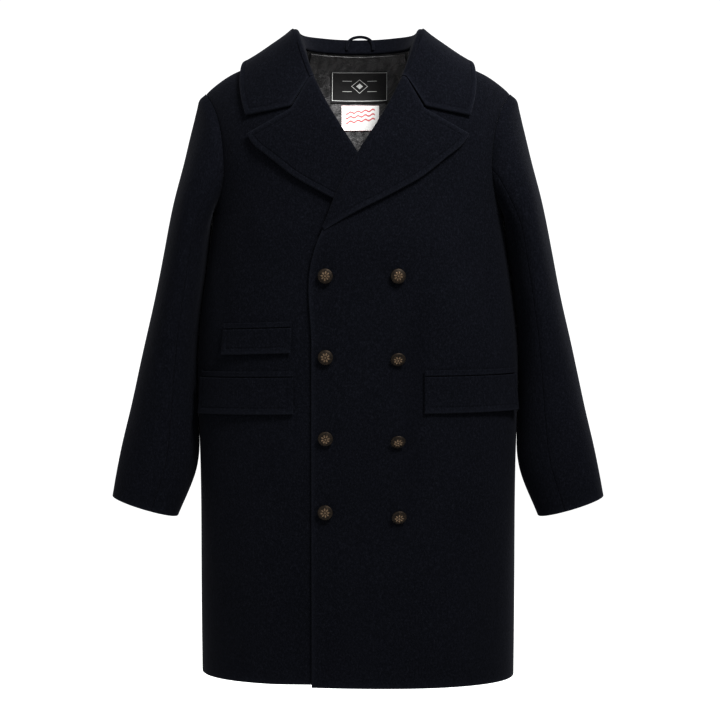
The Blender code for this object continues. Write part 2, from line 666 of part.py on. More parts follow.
def build_lapel(side, collection):
    """A lapel: it turns over the roll line and lies on its own front."""
    share = np.linspace(0, 1, LAPEL_COLUMNS)
    roll_z = LAPEL_FOOT_Z + (GORGE_Z - GORGE_GAP - LAPEL_FOOT_Z) * share
    roll = np.stack([roll_x(roll_z), roll_z], axis=-1)
    edge = along(LAPEL_EDGE, share)
    top = np.vstack([roll[-1:], LAPEL_TOP[::-1], edge[-1:]])

    # A patch between the roll line and the outer edge whose last column bends at the notch.
    across_share = np.linspace(0, 1, PATCH_ROWS + 1)[1:]
    straight = roll[-1] + (edge[-1] - roll[-1]) * across_share[:, None]
    bend = bent_edge(across_share, top) - straight
    place = roll + (edge - roll) * across_share[:, None, None] + (share**LAPEL_BEND)[:, None] * bend[:, None]

    def on_front(xz, out):
        """Points `out` above the side's own front, and the direction out of it."""
        angle = body_angle(xz[..., 0], xz[..., 1])
        away = body_normal(angle, xz[..., 1])
        offset = front_offset(side, xz[..., 0] * side, xz[..., 1])
        return body_point(angle, xz[..., 1]) + away * (offset + out)[..., None], away

    zero = np.zeros(LAPEL_COLUMNS)
    seam, up = on_front(roll, zero)
    beside = unit(np.cross(up, np.gradient(seam, axis=0)))
    beside *= -np.sign(beside[:, :1])
    turned = fold_rows(seam, beside, up, LAPEL_FOOT, zero - FOLD_SINK, LAPEL_TURN)
    lying, _ = on_front(place, np.full(place.shape[:2], PATCH_GAP + LAPEL_CLOTH / 2))
    middle = flip(np.concatenate([turned, lying]), side)
    wall("lapel_" + side_word(side), *thick_sheet(middle, LAPEL_CLOTH), WOOL, collection)


def neck_line():
    """The line that the collar turns over, from the centre back to the gorge, with its directions."""
    back = np.linspace(0, pi / 2, NECK_POINTS)
    x = NECK_X * np.sin(back) ** (2 / NECK_POWER)
    behind = stack(x, neck_seam_y(x), neck_seam_z(x))
    z = np.linspace(NECK_Z, GORGE_Z + GORGE_GAP, NECK_POINTS)[1:]
    before = body_point(body_angle(roll_x(z), z), z)
    line = along(np.concatenate([behind, before]), np.linspace(0, 1, COLLAR_COLUMNS))
    _, up = outside(line)
    run = np.gradient(line, axis=0)
    run[0] = (1, 0, 0)
    beside = unit(np.cross(run, up))
    inside_neck = np.array([0.0, 20.0, 0.0])
    beside *= np.sign((beside * (inside_neck - line)).sum(axis=1, keepdims=True))
    return line, up, beside


def build_collar(collection):
    """Stand and fall in one piece, turned over at the fold."""
    line, up, beside = neck_line()
    share = np.linspace(0, 1, len(line))
    edge = along(np.vstack([COLLAR_EDGE[::-1], COLLAR_END[-1:]]), share)
    height = STAND_HEIGHT * (1 - ease((share - STAND_LEVEL) / (1 - STAND_LEVEL)))

    fall = np.linspace(0, 1, PATCH_ROWS + 1)[1:]
    end = np.vstack([line[-1:], COLLAR_END])
    straight = line[-1] + (edge[-1] - line[-1]) * fall[:, None]
    bend = bent_edge(fall, end) - straight
    place = line + (edge - line) * fall[:, None, None] + (share**COLLAR_BEND)[:, None] * bend[:, None]
    stand_off = height * (1 - fall[:, None]) ** STAND_FADE
    over_ridge = RIDGE_EASE * np.exp(-(place[..., 1] / RIDGE_EASE_Y) ** 2)
    lying = lift_to(place, PATCH_GAP + COLLAR_CLOTH / 2 + stand_off + over_ridge)
    turned = fold_rows(line, beside, up, COLLAR_FOOT, height - FOLD_SINK, COLLAR_TURN)
    half = np.concatenate([turned, lying])
    middle = np.concatenate([flip(half[:, :0:-1], -1), half], axis=1)
    wall("collar", *thick_sheet(middle, COLLAR_CLOTH), WOOL, collection)


# ------------------------------------------------------------------ pockets
def arc_angles(x_in, arc, z, count):
    """Angles of points spaced evenly along the section from x_in, over the length `arc`."""
    fine = np.linspace(body_angle(np.array(x_in), np.array(z)), pi / 2, 400)
    points = body_point(fine, np.full(400, z))
    length = np.concatenate([[0], np.cumsum(np.linalg.norm(np.diff(points, axis=0), axis=1))])
    return np.interp(np.linspace(0, arc, count), length, fine)


def strip_on_front(flap, z_top, height, curl, rows, columns):
    """A grid on a front below z_top, just clear of it, its lower outer corner standing off."""
    angle = arc_angles(flap.x_in, flap.arc, flap.top, columns)
    share = np.linspace(0, 1, columns)
    down = np.linspace(0, 1, rows)[:, None]
    z = z_top - flap.drop * share - height * down
    angle = np.broadcast_to(angle, z.shape)
    away = body_normal(angle, z)
    base = body_point(angle, z)
    curled = curl * share**4 * (CURL_AT_TOP + (1 - CURL_AT_TOP) * down)
    offset = front_offset(flap.side, base[..., 0] * flap.side, z) + PATCH_GAP + curled
    return base + away * offset[..., None], away


def build_pockets(collection):
    """Each flap, and the welt above it."""
    for flap in FLAPS:
        columns = 1 + round(flap.arc / FLAP_CELL)
        strips = ((flap.name, flap.top, flap.height, flap.curl, 4, FLAP_CLOTH),
                  (flap.name.replace("flap", "welt"), flap.top + WELT_HEIGHT + SEAM_GAP, WELT_HEIGHT, 0.0, 3,
                   WELT_CLOTH))
        for name, z_top, height, curl, rows, cloth in strips:
            base, away = strip_on_front(flap, z_top, height, curl, rows, columns)
            wall(name, flip(base + away * cloth, flap.side), flip(base, flap.side), WOOL, collection)


# ------------------------------------------------------------------ lining, labels, loop
def inside_back(x, z, depth):
    """Point on the inner side of the back, `depth` in from the outer cloth."""
    angle = body_angle(x, z, True)
    away = body_normal(angle, z)
    return body_point(angle, z) - away * np.asarray(depth)[..., None]


def build_lining(collection):
    """The upper back's lining, seen through the neck, and the labels on it."""
    full_x, level = np.array(LINING_X, float), np.array(LINING_Z, float)
    straight = np.clip(full_x, -LINING_STRAIGHT_X, LINING_STRAIGHT_X)
    beyond = full_x - straight
    # the outer columns close in towards the neck seam's ends
    spread = ease((NECK_Z - np.concatenate([[NECK_Z], level])) / LINING_SPREAD_Z)[:, None]
    narrow = beyond * (LINING_NECK_X - LINING_STRAIGHT_X) / (full_x[-1] - LINING_STRAIGHT_X)
    x = straight + narrow + (beyond - narrow) * spread
    under_seam = neck_seam_z(np.clip(x[1:], -LINING_SEAM_X, LINING_SEAM_X)) - LINING_UNDER_SEAM
    z = np.vstack([neck_seam_z(x[:1]), np.minimum(level[:, None], under_seam)])
    shallow = np.full(x.shape, CLOTH + LINING_GAP)
    outer = inside_back(x, z, shallow)
    inner = inside_back(x, z, shallow + LINING_CLOTH)
    wall("lining_back", outer, inner, LINING, collection)

    for label in LABELS:
        columns = slice(LINING_X.index(label.x_left), LINING_X.index(label.x_right) + 1)
        rows = slice(LINING_Z.index(label.z_top) + 1, LINING_Z.index(label.z_low) + 2)
        deep = shallow[rows, columns] + LINING_CLOTH + LAY_GAP
        patch_x, patch_z = x[rows, columns], z[rows, columns]
        spec = LABEL_DARK if label.name == "label_dark" else LABEL_PALE
        face, behind = (inside_back(patch_x, patch_z, depth) for depth in (deep + LABEL_CLOTH, deep))
        wall(label.name, behind, face, spec, collection)


def build_hanger_loop(collection):
    """A narrow sewn tube, both ends held at the back neck seam."""
    turn = np.linspace(0, pi, 9)
    x = LOOP_X - LOOP_HALF_SPAN * np.cos(turn)
    _, up, beside = (rows[0] for rows in neck_line())
    foot = np.array([0.0, NECK_BACK_Y, neck_seam_z(np.array(0.0))])
    foot = foot + beside * (FOLD_BESIDE + COLLAR_CLOTH / 2 + LOOP_CLEAR + LOOP_RADIUS) - up * LOOP_SINK
    lie = foot + up * (LOOP_RISE * np.sin(turn)[:, None] ** LOOP_ROUND)
    bow = LOOP_BOW * ((x / LOOP_HALF_SPAN) ** 2 - 0.5)
    y, z = lie[:, 1] - bow, lie[:, 2]
    curve = bpy.data.curves.new("hanger_loop", "CURVE")
    curve.dimensions = "3D"
    curve.bevel_depth = LOOP_RADIUS * MM
    curve.bevel_resolution = 1
    curve.use_fill_caps = True
    line = curve.splines.new("POLY")
    line.points.add(len(x) - 1)
    for point, place in zip(line.points, stack(x, y, z) * MM):
        point.co = (*place, 1.0)
    guide = bpy.data.objects.new("hanger_guide", curve)
    collection.objects.link(guide)
    bpy.context.view_layer.update()
    mesh = bpy.data.meshes.new_from_object(guide.evaluated_get(bpy.context.evaluated_depsgraph_get()))
    bpy.data.objects.remove(guide)
    work = bmesh.new()
    work.from_mesh(mesh)
    bmesh.ops.remove_doubles(work, verts=work.verts, dist=0.00001)
    bmesh.ops.recalc_face_normals(work, faces=work.faces)
    work.to_mesh(mesh)
    work.free()
    mesh.shade_smooth()
    add_object("hanger_loop", mesh, WOOL, collection)


# ------------------------------------------------------------------ buttons
def button_profile():
    """Half outline of a domed shank button, from the dome's top to the shank's foot (x, z)."""
    radius = BUTTON_DIAMETER / 2
    return [(radius * sin(a), DOME_BASE + DOME_RISE * cos(a)) for a in DOME_TURNS] + list(BUTTON_BACK)


def build_buttons(collection):
    """Every button, turned from its profile, set on the over front and tipped down."""
    profile = button_profile()
    for number, button in enumerate(BUTTONS, start=1):
        name = "button_%d" % number
        mesh = bpy.data.meshes.new(name)
        points = [(x * MM, 0.0, z * MM) for x, z in profile]
        mesh.from_pydata(points, [(i, i + 1) for i in range(len(points) - 1)], [])
        piece = add_object(name, mesh, BRASS, collection)
        screw = piece.modifiers.new("turn", "SCREW")
        screw.steps = screw.render_steps = BUTTON_STEPS
        screw.use_merge_vertices = True
        screw.merge_threshold = 0.00001
        screw.use_normal_calculate = True
        x, z = np.array(float(button.x)), np.array(float(button.z))
        angle = body_angle(x, z)
        away = body_normal(angle, z)
        # a drooping button is carried out until its lower rim clears the cloth
        tilt = radians(button.droop)
        clear = -min(h * cos(tilt) - r * sin(tilt) for r, h in profile)
        place = body_point(angle, z) + away * (over_offset(x, z) + clear)
        droop = Matrix.Rotation(tilt, 4, Vector((1, 0, 0)))
        turn = droop @ Vector((0, 0, 1)).rotation_difference(Vector(away)).to_matrix().to_4x4()
        piece.matrix_world = Matrix.Translation(Vector(place * MM)) @ turn


def main():
    """Clears the scene and builds every piece."""
    for item in list(bpy.data.objects):
        bpy.data.objects.remove(item)
    collection = bpy.data.collections.new("long_coat")
    bpy.context.scene.collection.children.link(collection)
    build_body(collection)
    for side in (1, -1):
        build_lapel(side, collection)
    build_collar(collection)
    build_pockets(collection)
    build_lining(collection)
    build_hanger_loop(collection)
    build_buttons(collection)


main()
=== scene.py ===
"""A double-breasted long coat in navy melton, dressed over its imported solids.

Every table and surface is in millimetres, and a mesh is scaled to metres when it is made.  +Z is up,
the fronts face -Y and +X is the wearer's left.  The origin is the centre of the neck opening.
"""

import logging
from dataclasses import dataclass
from enum import Enum
from math import cos, pi, radians, sin
from typing import NamedTuple, Optional, Sequence, Union

import bpy
import numpy as np
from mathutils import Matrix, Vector


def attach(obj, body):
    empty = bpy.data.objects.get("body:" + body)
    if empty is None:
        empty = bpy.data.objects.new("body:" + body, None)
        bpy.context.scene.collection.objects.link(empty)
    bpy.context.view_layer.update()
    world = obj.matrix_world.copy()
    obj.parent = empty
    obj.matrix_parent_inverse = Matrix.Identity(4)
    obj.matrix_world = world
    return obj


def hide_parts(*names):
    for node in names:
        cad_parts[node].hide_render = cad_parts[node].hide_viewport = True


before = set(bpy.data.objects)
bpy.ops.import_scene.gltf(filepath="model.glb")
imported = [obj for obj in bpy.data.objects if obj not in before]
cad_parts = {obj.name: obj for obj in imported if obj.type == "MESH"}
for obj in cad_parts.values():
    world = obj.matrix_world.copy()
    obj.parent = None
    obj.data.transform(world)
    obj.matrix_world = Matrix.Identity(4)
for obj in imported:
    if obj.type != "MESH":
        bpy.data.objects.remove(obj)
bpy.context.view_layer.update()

LOG = logging.getLogger("coat")
MM = 0.001
Grid = np.ndarray
Number = Union[float, np.ndarray]
Finish = bpy.types.Material
Socket = bpy.types.NodeSocket


class Side(Enum):
    """The wearer's left (+X) or right (-X)."""
    LEFT = 1
    RIGHT = -1

    @property
    def word(self) -> str:
        """The side's name in the names of pieces."""
        return self.name.lower()


# ------------ curves and grids
def smooth_curve(keys: Sequence[float], values: Sequence[float], at: Number) -> Number:
    """Cubic pieces through a short table, whose slopes are those of the neighbours.

    Args:
        keys: rising places of the table.
        values: the value at each place.
        at: where the curve is wanted.

    Returns:
        The curve's values, held level past both ends of the table.
    """
    keys, values, at = (np.asarray(a, float) for a in (keys, values, at))
    slopes = np.gradient(values, keys)
    at = np.clip(at, keys[0], keys[-1])
    i = np.clip(np.searchsorted(keys, at, side="right") - 1, 0, len(keys) - 2)
    span = keys[i + 1] - keys[i]
    t = (at - keys[i]) / span
    return ((2 * t**3 - 3 * t**2 + 1) * values[i] + (t**3 - 2 * t**2 + t) * span * slopes[i]
            + (3 * t**2 - 2 * t**3) * values[i + 1] + (t**3 - t**2) * span * slopes[i + 1])


def ease(t: Number) -> Number:
    """Smooth step from 0 to 1: 3t^2 - 2t^3."""
    t = np.clip(t, 0.0, 1.0)
    return t * t * (3 - 2 * t)


def bell(off: Number, width: float) -> Number:
    """Bell of height 1: exp(-(off / width)^2)."""
    return np.exp(-(off / width) ** 2)


def unit(v: Grid) -> Grid:
    """Vectors scaled to length 1."""
    return v / np.maximum(np.linalg.norm(v, axis=-1, keepdims=True), 1e-9)


def stack(x: Number, y: Number, z: Number) -> Grid:
    """Points from three arrays of one shape or that broadcast to one."""
    return np.stack(np.broadcast_arrays(x, y, z), axis=-1).astype(float)


def flip(points: Grid, side: Side) -> Grid:
    """Points or directions mirrored in x for the wearer's right."""
    return points * np.array([side.value, 1.0, 1.0])


def run_length(points: Grid) -> Grid:
    """Length from the first point of a line to each of its points."""
    return np.concatenate([[0], np.cumsum(np.linalg.norm(np.diff(points, axis=0), axis=1))])


def along(points: Sequence, fractions: Grid) -> Grid:
    """Points at the given fractions of a polyline's length, on a smooth curve through its corners.

    Args:
        points: the corners.
        fractions: shares 0..1 of the length.

    Returns:
        One point for each fraction.
    """
    points = np.asarray(points, float)
    length = run_length(points)
    return np.stack([smooth_curve(length / length[-1], points[:, k], fractions)
                     for k in range(points.shape[1])], axis=-1)


ROUNDED_EDGE = (0.0, 0.12, 0.4, 0.85, 1.4, 2.1, 3.1)     # rows of cloth that turn round its edge


def run_of_cloth(length: float, step: float, first: bool = True, last: bool = True) -> Grid:
    """Fractions 0..1 along a run of cloth, evenly spaced but close together at its turned edges.

    Args:
        length: the run in millimetres.
        step: spacing away from the edges.
        first: whether the run starts at an edge that is rounded over.
        last: whether it ends at one.

    Returns:
        The rising fractions.
    """
    close = np.array(ROUNDED_EDGE)
    start = close if first else np.array([0.0])
    end = length - (close[::-1] if last else np.array([0.0]))
    count = max(2, int(round((end[0] - start[-1]) / step)) + 1)
    middle = np.linspace(start[-1], end[0], count)[1:-1]
    return np.concatenate([start, middle, end]) / length


def bent_line(at: Grid, breaks: Sequence[float], corners: Grid) -> Grid:
    """Straight lines through the corners, which lie at the rising places `breaks`."""
    return np.stack([np.interp(at, breaks, corners[:, k]) for k in range(corners.shape[1])], axis=-1)


def measured(points: Grid, axis: int) -> Grid:
    """Length of cloth from the first row (axis 0) or first column (axis 1) to every point of a grid.

    Args:
        points: the grid.
        axis: along which it is measured.

    Returns:
        One length for each point.
    """
    steps = np.linalg.norm(np.diff(points, axis=axis), axis=-1)
    start = np.zeros_like(np.take(steps, [0], axis=axis))
    return np.cumsum(np.concatenate([start, steps], axis=axis), axis=axis)


def sheet_normals(points: Grid) -> Grid:
    """Direction square to a grid, from its rows' and columns' tangents."""
    return unit(np.cross(np.gradient(points, axis=0), np.gradient(points, axis=1)))


# ------------ soft folds
FLANK = 1.8          # a crease's ridge lies this many widths beside it
ARCH_POWER = 1.3     # above 1 a crease runs out softly at both ends
ARCH_SKEW = 0.1      # and is deepest a little before its middle


@dataclass(frozen=True)
class Crease:
    """A soft trough on a piece's own plan, with a low ridge on one flank.

    start and end are (across, up) in millimetres, bow is how far its middle lies off the straight
    line, depth is negative for a ridge, and rise is the share by which the cloth stands up again
    beside it, on the left flank where it is negative.
    """
    start: tuple[float, float]
    end: tuple[float, float]
    bow: float
    width: float
    depth: float
    rise: float = 0.4

    def push(self, across: Number, up: Number) -> Number:
        """How far the cloth goes in: a bell across the line, a rounded arch along it.

        Args:
            across, up: places on the plan.

        Returns:
            The push in millimetres at each place.
        """
        first, last = np.array(self.start, float), np.array(self.end, float)
        length = np.linalg.norm(last - first)
        run = (last - first) / length
        t = ((across - first[0]) * run[0] + (up - first[1]) * run[1]) / length
        off = (up - first[1]) * run[0] - (across - first[0]) * run[1]
        inside = np.clip(t, 0.0, 1.0)
        off = (off - self.bow * 4 * inside * (1 - inside)) / self.width
        arch = np.sin(pi * np.clip((1 - ARCH_SKEW) * inside + ARCH_SKEW * inside**2, 0, 1)) ** ARCH_POWER
        beside = abs(self.rise) * np.exp(-(off - FLANK * np.sign(self.rise)) ** 2)
        return self.depth * arch * (np.exp(-off**2) - beside)


def creased(creases: Sequence[Crease], across: Number, up: Number) -> Number:
    """Sum of what each crease pushes the cloth in.

    Args:
        creases: the creases.
        across, up: places on the plan.

    Returns:
        The push at each place.
    """
    total = np.zeros(np.broadcast(across, up).shape)
    for crease in creases:
        total = total + crease.push(across, up)
    return total


def unrest(across: Number, up: Number, reach: float, seed: float) -> Number:
    """Slow unevenness of hung cloth within -1..1: three crossed waves of unequal length.

    Args:
        across, up: places.
        reach: size of the waves.
        seed: shifts them.

    Returns:
        The unevenness at each place.
    """
    a, b = np.asarray(across) / reach, np.asarray(up) / reach
    return (np.sin(2.1 * a + 0.7 * b + seed) * np.cos(0.9 * b - 0.5 * a + 1.7 * seed)
            + 0.6 * np.sin(3.7 * a - 1.3 * b + 2.9 * seed) + 0.4 * np.sin(1.1 * a + 2.3 * b + 4.1 * seed)) / 2


# ------------ the body's form
class Level(NamedTuple):
    """One level section of the body."""
    z: float
    half_width: float
    front: float
    back: float


BODY = (
    Level(-930, 235.0, 134, 128), Level(-780, 235.5, 133, 126), Level(-600, 236.5, 131, 124),
    Level(-510, 239.0, 130, 123), Level(-434, 239.0, 130, 122), Level(-360, 232.5, 130, 122),
    Level(-285, 221.5, 129, 122), Level(-235, 216.0, 127, 122), Level(-150, 218.0, 123, 122),
    Level(-60, 231.0, 112, 119), Level(30, 241.0, 100, 114),
)
RIDGE = ((0, 40), (30, 38), (60, 30), (85, 18), (125, 3), (165, -15), (193, -28.5), (205, -36.5),
         (216, -45), (226, -54), (245, -75))
# z, then x on the front and on the back
ARMHOLE = ((-235, 216, 216), (-204, 201.5, 206.5), (-174, 196, 203.5), (-142, 197, 203.5),
           (-103, 203, 207.5), (-75, 213, 215), (-54, 226, 226))
# z and x of the roll line, then of the free front edge
ROLL = ((-940, -67), (-420, -67), (-302, -66.5), (-267, -55), (-236, -40), (-202, -24), (-142, 9),
        (-111, 29), (-66, 55), (-26, 73), (18, 85))


@dataclass(frozen=True)
class BodyForm:
    """The coat's body: level superellipses with their own depths, closed above by a shoulder ridge."""
    section_power: float = 2.25
    ridge_power: float = 1.9
    ridge_front: float = 150.0
    ridge_back: float = 100.0
    neck_power: float = 2.2
    neck: tuple[float, float] = (85.0, 18.0)
    neck_back_y: float = 75.0
    shoulder: tuple[float, float] = (226.0, -54.0)
    underarm_z: float = -235.0
    waist_z: float = -500.0
    lap_cloth: float = 3.0
    lap_gap: float = 0.8
    carried: float = 5.8

    def size(self, name: str, z: Number) -> Number:
        """A size of the level section at z."""
        return smooth_curve([row.z for row in BODY], [getattr(row, name) for row in BODY], z)

    def ridge(self, x: Number) -> Number:
        """Height of the shoulder ridge at x."""
        xs, zs = zip(*RIDGE)
        return smooth_curve(xs, zs, np.abs(x))

    def roll(self, z: Number) -> Number:
        """x of the roll line and front edge at z, on the wearer's left."""
        zs, xs = zip(*ROLL)
        return smooth_curve(zs, xs, z)

    def armhole(self, z: Number, back: Number) -> Number:
        """x of the armhole at z, on the back where `back` is true."""
        zs, *sides = zip(*ARMHOLE)
        return np.where(back, smooth_curve(zs, sides[1], z), smooth_curve(zs, sides[0], z))

    def side_share(self, x: Number, z: Number) -> Number:
        """Share of the full depth left at x: (1 - t^p)^(1/p)."""
        t = np.clip(np.abs(x) / self.size("half_width", z), 0.0, 1.0)
        return (1 - t**self.section_power) ** (1 / self.section_power)

    def ridge_share(self, x: Number, z: Number, height: float) -> Number:
        """Share of the depth left below the ridge: 0 on it, 1 from `height` below it."""
        t = np.clip((self.ridge(x) - z) / height, 0.0, 1.0)
        return (1 - (1 - t) ** self.ridge_power) ** (1 / self.ridge_power)

    def point(self, angle: Number, z: Number) -> Grid:
        """Point of the outer cloth; angle 0 is the centre front and a quarter turn the side seam.

        Args:
            angle: round the body.
            z: height.

        Returns:
            The points.
        """
        power = 2 / self.section_power
        s, c = np.sin(angle), np.cos(angle)
        x = self.size("half_width", z) * np.sign(s) * np.abs(s) ** power
        front = self.size("front", z) * self.ridge_share(x, z, self.ridge_front)
        back = self.size("back", z) * self.ridge_share(x, z, self.ridge_back)
        return stack(x, np.where(c >= 0, -front, back) * np.abs(c) ** power, z)

    def angle(self, x: Number, z: Number, back: Number = False) -> Number:
        """The angle of the point at x, on the back where `back` is true."""
        t = np.clip(np.abs(x) / self.size("half_width", z), 0.0, 1.0)
        angle = np.arcsin(t ** (self.section_power / 2))
        return np.where(back, pi - angle, angle) * np.where(np.asarray(x) < 0, -1, 1)

    def away(self, angle: Number, z: Number) -> Grid:
        """Direction out of the cloth, from differences of half a millimetre."""
        across = self.point(angle + 0.002, z) - self.point(angle - 0.002, z)
        return unit(np.cross(across, self.point(angle, z + 0.5) - self.point(angle, z - 0.5)))

    def across(self, x_in: Number, x_out: Number, z: Number, share: Number) -> Number:
        """x at shares 0..1 between two x values, evenly in the section's angle.

        Args:
            x_in, x_out: the two values.
            z: height.
            share: of the way.

        Returns:
            x at each share.
        """
        start = np.where(np.asarray(x_in) < 0, -1, 1) * self.angle(np.abs(x_in), z)
        angle = start + (self.angle(x_out, z) - start) * share
        return self.size("half_width", z) * np.sign(angle) * np.abs(np.sin(angle)) ** (2 / self.section_power)

    def arc(self, angle: Number) -> Number:
        """Rough length of cloth from the centre front round to an angle."""
        table = np.linspace(0, pi, 181)
        length = run_length(self.point(table, np.full(181, self.waist_z)))
        return np.sign(angle) * np.interp(np.abs(angle), table, length)

    def neck_seam_y(self, x: Number) -> Number:
        """Back neck seam seen from above: a superellipse through the two neck points."""
        share = np.clip(np.abs(x) / self.neck[0], 0, 1) ** self.neck_power
        return self.neck_back_y * (1 - share) ** (1 / self.neck_power)

    def neck_seam_z(self, x: Number) -> Number:
        """Height at which the back has the neck seam's depth.

        Args:
            x: places on the seam.

        Returns:
            The heights.
        """
        y, z = self.neck_seam_y(x), self.ridge(x)
        for _ in range(8):
            share = np.clip(y / (self.size("back", z) * self.side_share(x, z)), 0.0, 1.0)
            z = self.ridge(x) - self.ridge_back * (1 - (1 - share**self.ridge_power) ** (1 / self.ridge_power))
        return z

    def height_over(self, points: Grid) -> tuple[Grid, Grid]:
        """Distance above the yoke and chest, to first order, and the direction away from them.

        Args:
            points: any points beside the upper body.

        Returns:
            The distances and the directions.
        """
        def level(p: Grid) -> Grid:
            """Superellipse of depth and rise: 1 on the cloth, more outside it."""
            x, y, z = p[..., 0], p[..., 1], p[..., 2]
            depth = np.where(y < 0, self.size("front", z), self.size("back", z)) * self.side_share(x, z)
            height = np.where(y < 0, self.ridge_front, self.ridge_back)
            rise = np.clip((z - self.ridge(x) + height) / height, 0.0, None)
            flat = np.abs(y) / np.maximum(depth, 1.0)
            return (flat**self.ridge_power + rise**self.ridge_power) ** (1 / self.ridge_power)

        step = np.eye(3) * 0.5
        slope = np.stack([level(points + step[k]) - level(points - step[k]) for k in range(3)], axis=-1)
        size = np.maximum(np.linalg.norm(slope, axis=-1), 1e-9)
        return (level(points) - 1) / size, slope / size[..., None]

    def lifted(self, points: Grid, distance: Number) -> Grid:
        """Points moved along the form's own direction until they lie `distance` above it.

        Args:
            points: points near the form.
            distance: wanted above it.

        Returns:
            The moved points.
        """
        for _ in range(6):
            now, away = self.height_over(points)
            points = points + (distance - now)[..., None] * away
        return points

    def front_layer(self, side: Side, x: Number, z: Number) -> Number:
        """How far a front lies out of the form: the left one over, the right one behind its edge.

        Args:
            side: of the front.
            x, z: places as on the left.

        Returns:
            Distances out of the form.
        """
        folds = creased(LARGE_FOLDS, x, z)
        if side is Side.LEFT:
            # the over front is carried out by the lapel under its turn, and settles beside and below it
            near = (1 - ease((x - 60) / 65)) * ease((z + 335) / 70) * (1 - ease((z + 140) / 50))
            return self.carried * near - folds
        under = ease((x - self.roll(z) + 60) / 50)
        return -(self.lap_cloth + self.lap_gap + folds) * under - folds * (1 - under)


# The large soft folds that the solids have too: trough beside the buttons, swell beyond it.
LARGE_FOLDS = (
    Crease((61, -640), (80, -262), 0.0, 20, 4.5, rise=0.0),
    Crease((147, -520), (112, -170), 0.0, 26, -3.0, rise=0.0),
    Crease((-139, -560), (-120, -250), 0.0, 30, 2.0, rise=0.0),
)
FORM = BodyForm()


# ------------ closed cloth
class Edge(Enum):
    """The four edges of a grid of cloth."""
    FIRST_ROW = "first_row"
    LAST_ROW = "last_row"
    FIRST_COLUMN = "first_column"
    LAST_COLUMN = "last_column"


BOTH_SIDES = (Edge.FIRST_COLUMN, Edge.LAST_COLUMN)
SEAM = 1.1             # radius to which a sewn edge rolls in
SEWN_ROUND = {edge: SEAM for edge in Edge}
STITCH_IN = 9.0        # topstitching, in from a turned edge
STITCHED_EDGE = (0.0, 0.15, 0.5, 1.0, 1.7, 2.6, 4.0, 5.6, 6.9, 7.7, 8.4, 9.0, 9.6, 10.4, 11.4, 13.2)
PLAIN_EDGE = (0.0, 0.15, 0.5, 1.0, 1.7, 2.6, 4.0)


def edge_distance(points: Grid, edge: Edge) -> Grid:
    """Length of cloth from one edge to every point of a grid.

    Args:
        points: the grid.
        edge: where the length starts.

    Returns:
        One length for each point.
    """
    run = measured(points, 0 if edge in (Edge.FIRST_ROW, Edge.LAST_ROW) else 1)
    if edge is Edge.LAST_ROW:
        return run[-1] - run
    if edge is Edge.LAST_COLUMN:
        return run[:, -1:] - run
    return run


def nearest_edge(points: Grid, edges: Sequence[Edge]) -> Grid:
    """Length of cloth from the nearest of some edges to every point of a grid."""
    return np.min([edge_distance(points, edge) for edge in edges], axis=0)


def rolled(points: Grid, radii: dict[Edge, Number]) -> Grid:
    """Share of the thickness left near the edges: quarter circles, sqrt(1 - (1 - d/r)^2).

    Args:
        points: the grid.
        radii: r at each edge.

    Returns:
        The share at each point.
    """
    share = np.ones(points.shape[:2])
    for edge, radius in radii.items():
        t = np.clip(edge_distance(points, edge) / radius, 0, 1)
        share = share * np.sqrt(np.clip(1 - (1 - t) ** 2, 0, 1))
    return share


def toward_edge(reach: Grid, step: float, stitched: bool = True) -> Grid:
    """Shares 0..1 across cloth whose far edge is turned, for each of its columns.

    Args:
        reach: length of each column in millimetres.
        step: spacing of the rows away from the edge.
        stitched: whether rows crowd at the topstitching too.

    Returns:
        A grid of shares; rows near the far edge keep their distance from it in millimetres.
    """
    near = np.array(STITCHED_EDGE if stitched else PLAIN_EDGE)[::-1, None]
    near = near * np.minimum(1.0, reach / (2.2 * near[0, 0]))
    count = int(round((reach.max() - near[0].max()) / step)) + 1
    inner = np.linspace(0, 1, count)[:-1, None]
    return np.concatenate([inner * (1 - near[:1] / reach), 1 - near / reach])


def stitch_line(distance: Grid, at: float = STITCH_IN) -> Grid:
    """How far the topstitching draws the cloth in, with the edge band standing up beside it."""
    drawn, band = bell(distance - at, 0.95), bell(distance - at * 0.5, 2.6)
    return 0.75 * drawn - 0.20 * band


def seam_dip(distance: Grid, depth: float = 0.5, width: float = 3.2) -> Grid:
    """How far a sewn seam draws the cloth in beside it."""
    return depth * bell(distance, width)


def hollow_share(push: Grid, depth: float = 3.0) -> Grid:
    """How deep cloth lies in a fold or a seam, as a share of a depth: the mask for the painted shade in hollows.
    """
    return np.clip(push, 0, depth) / depth


@dataclass(frozen=True)
class Cut:
    """What a piece is cut to before it is sewn: width, length (m) and area (m2) of the flat cloth."""
    width: float
    length: float
    area: float
    held: str = "hung"
    rests_on: tuple[str, ...] = ()


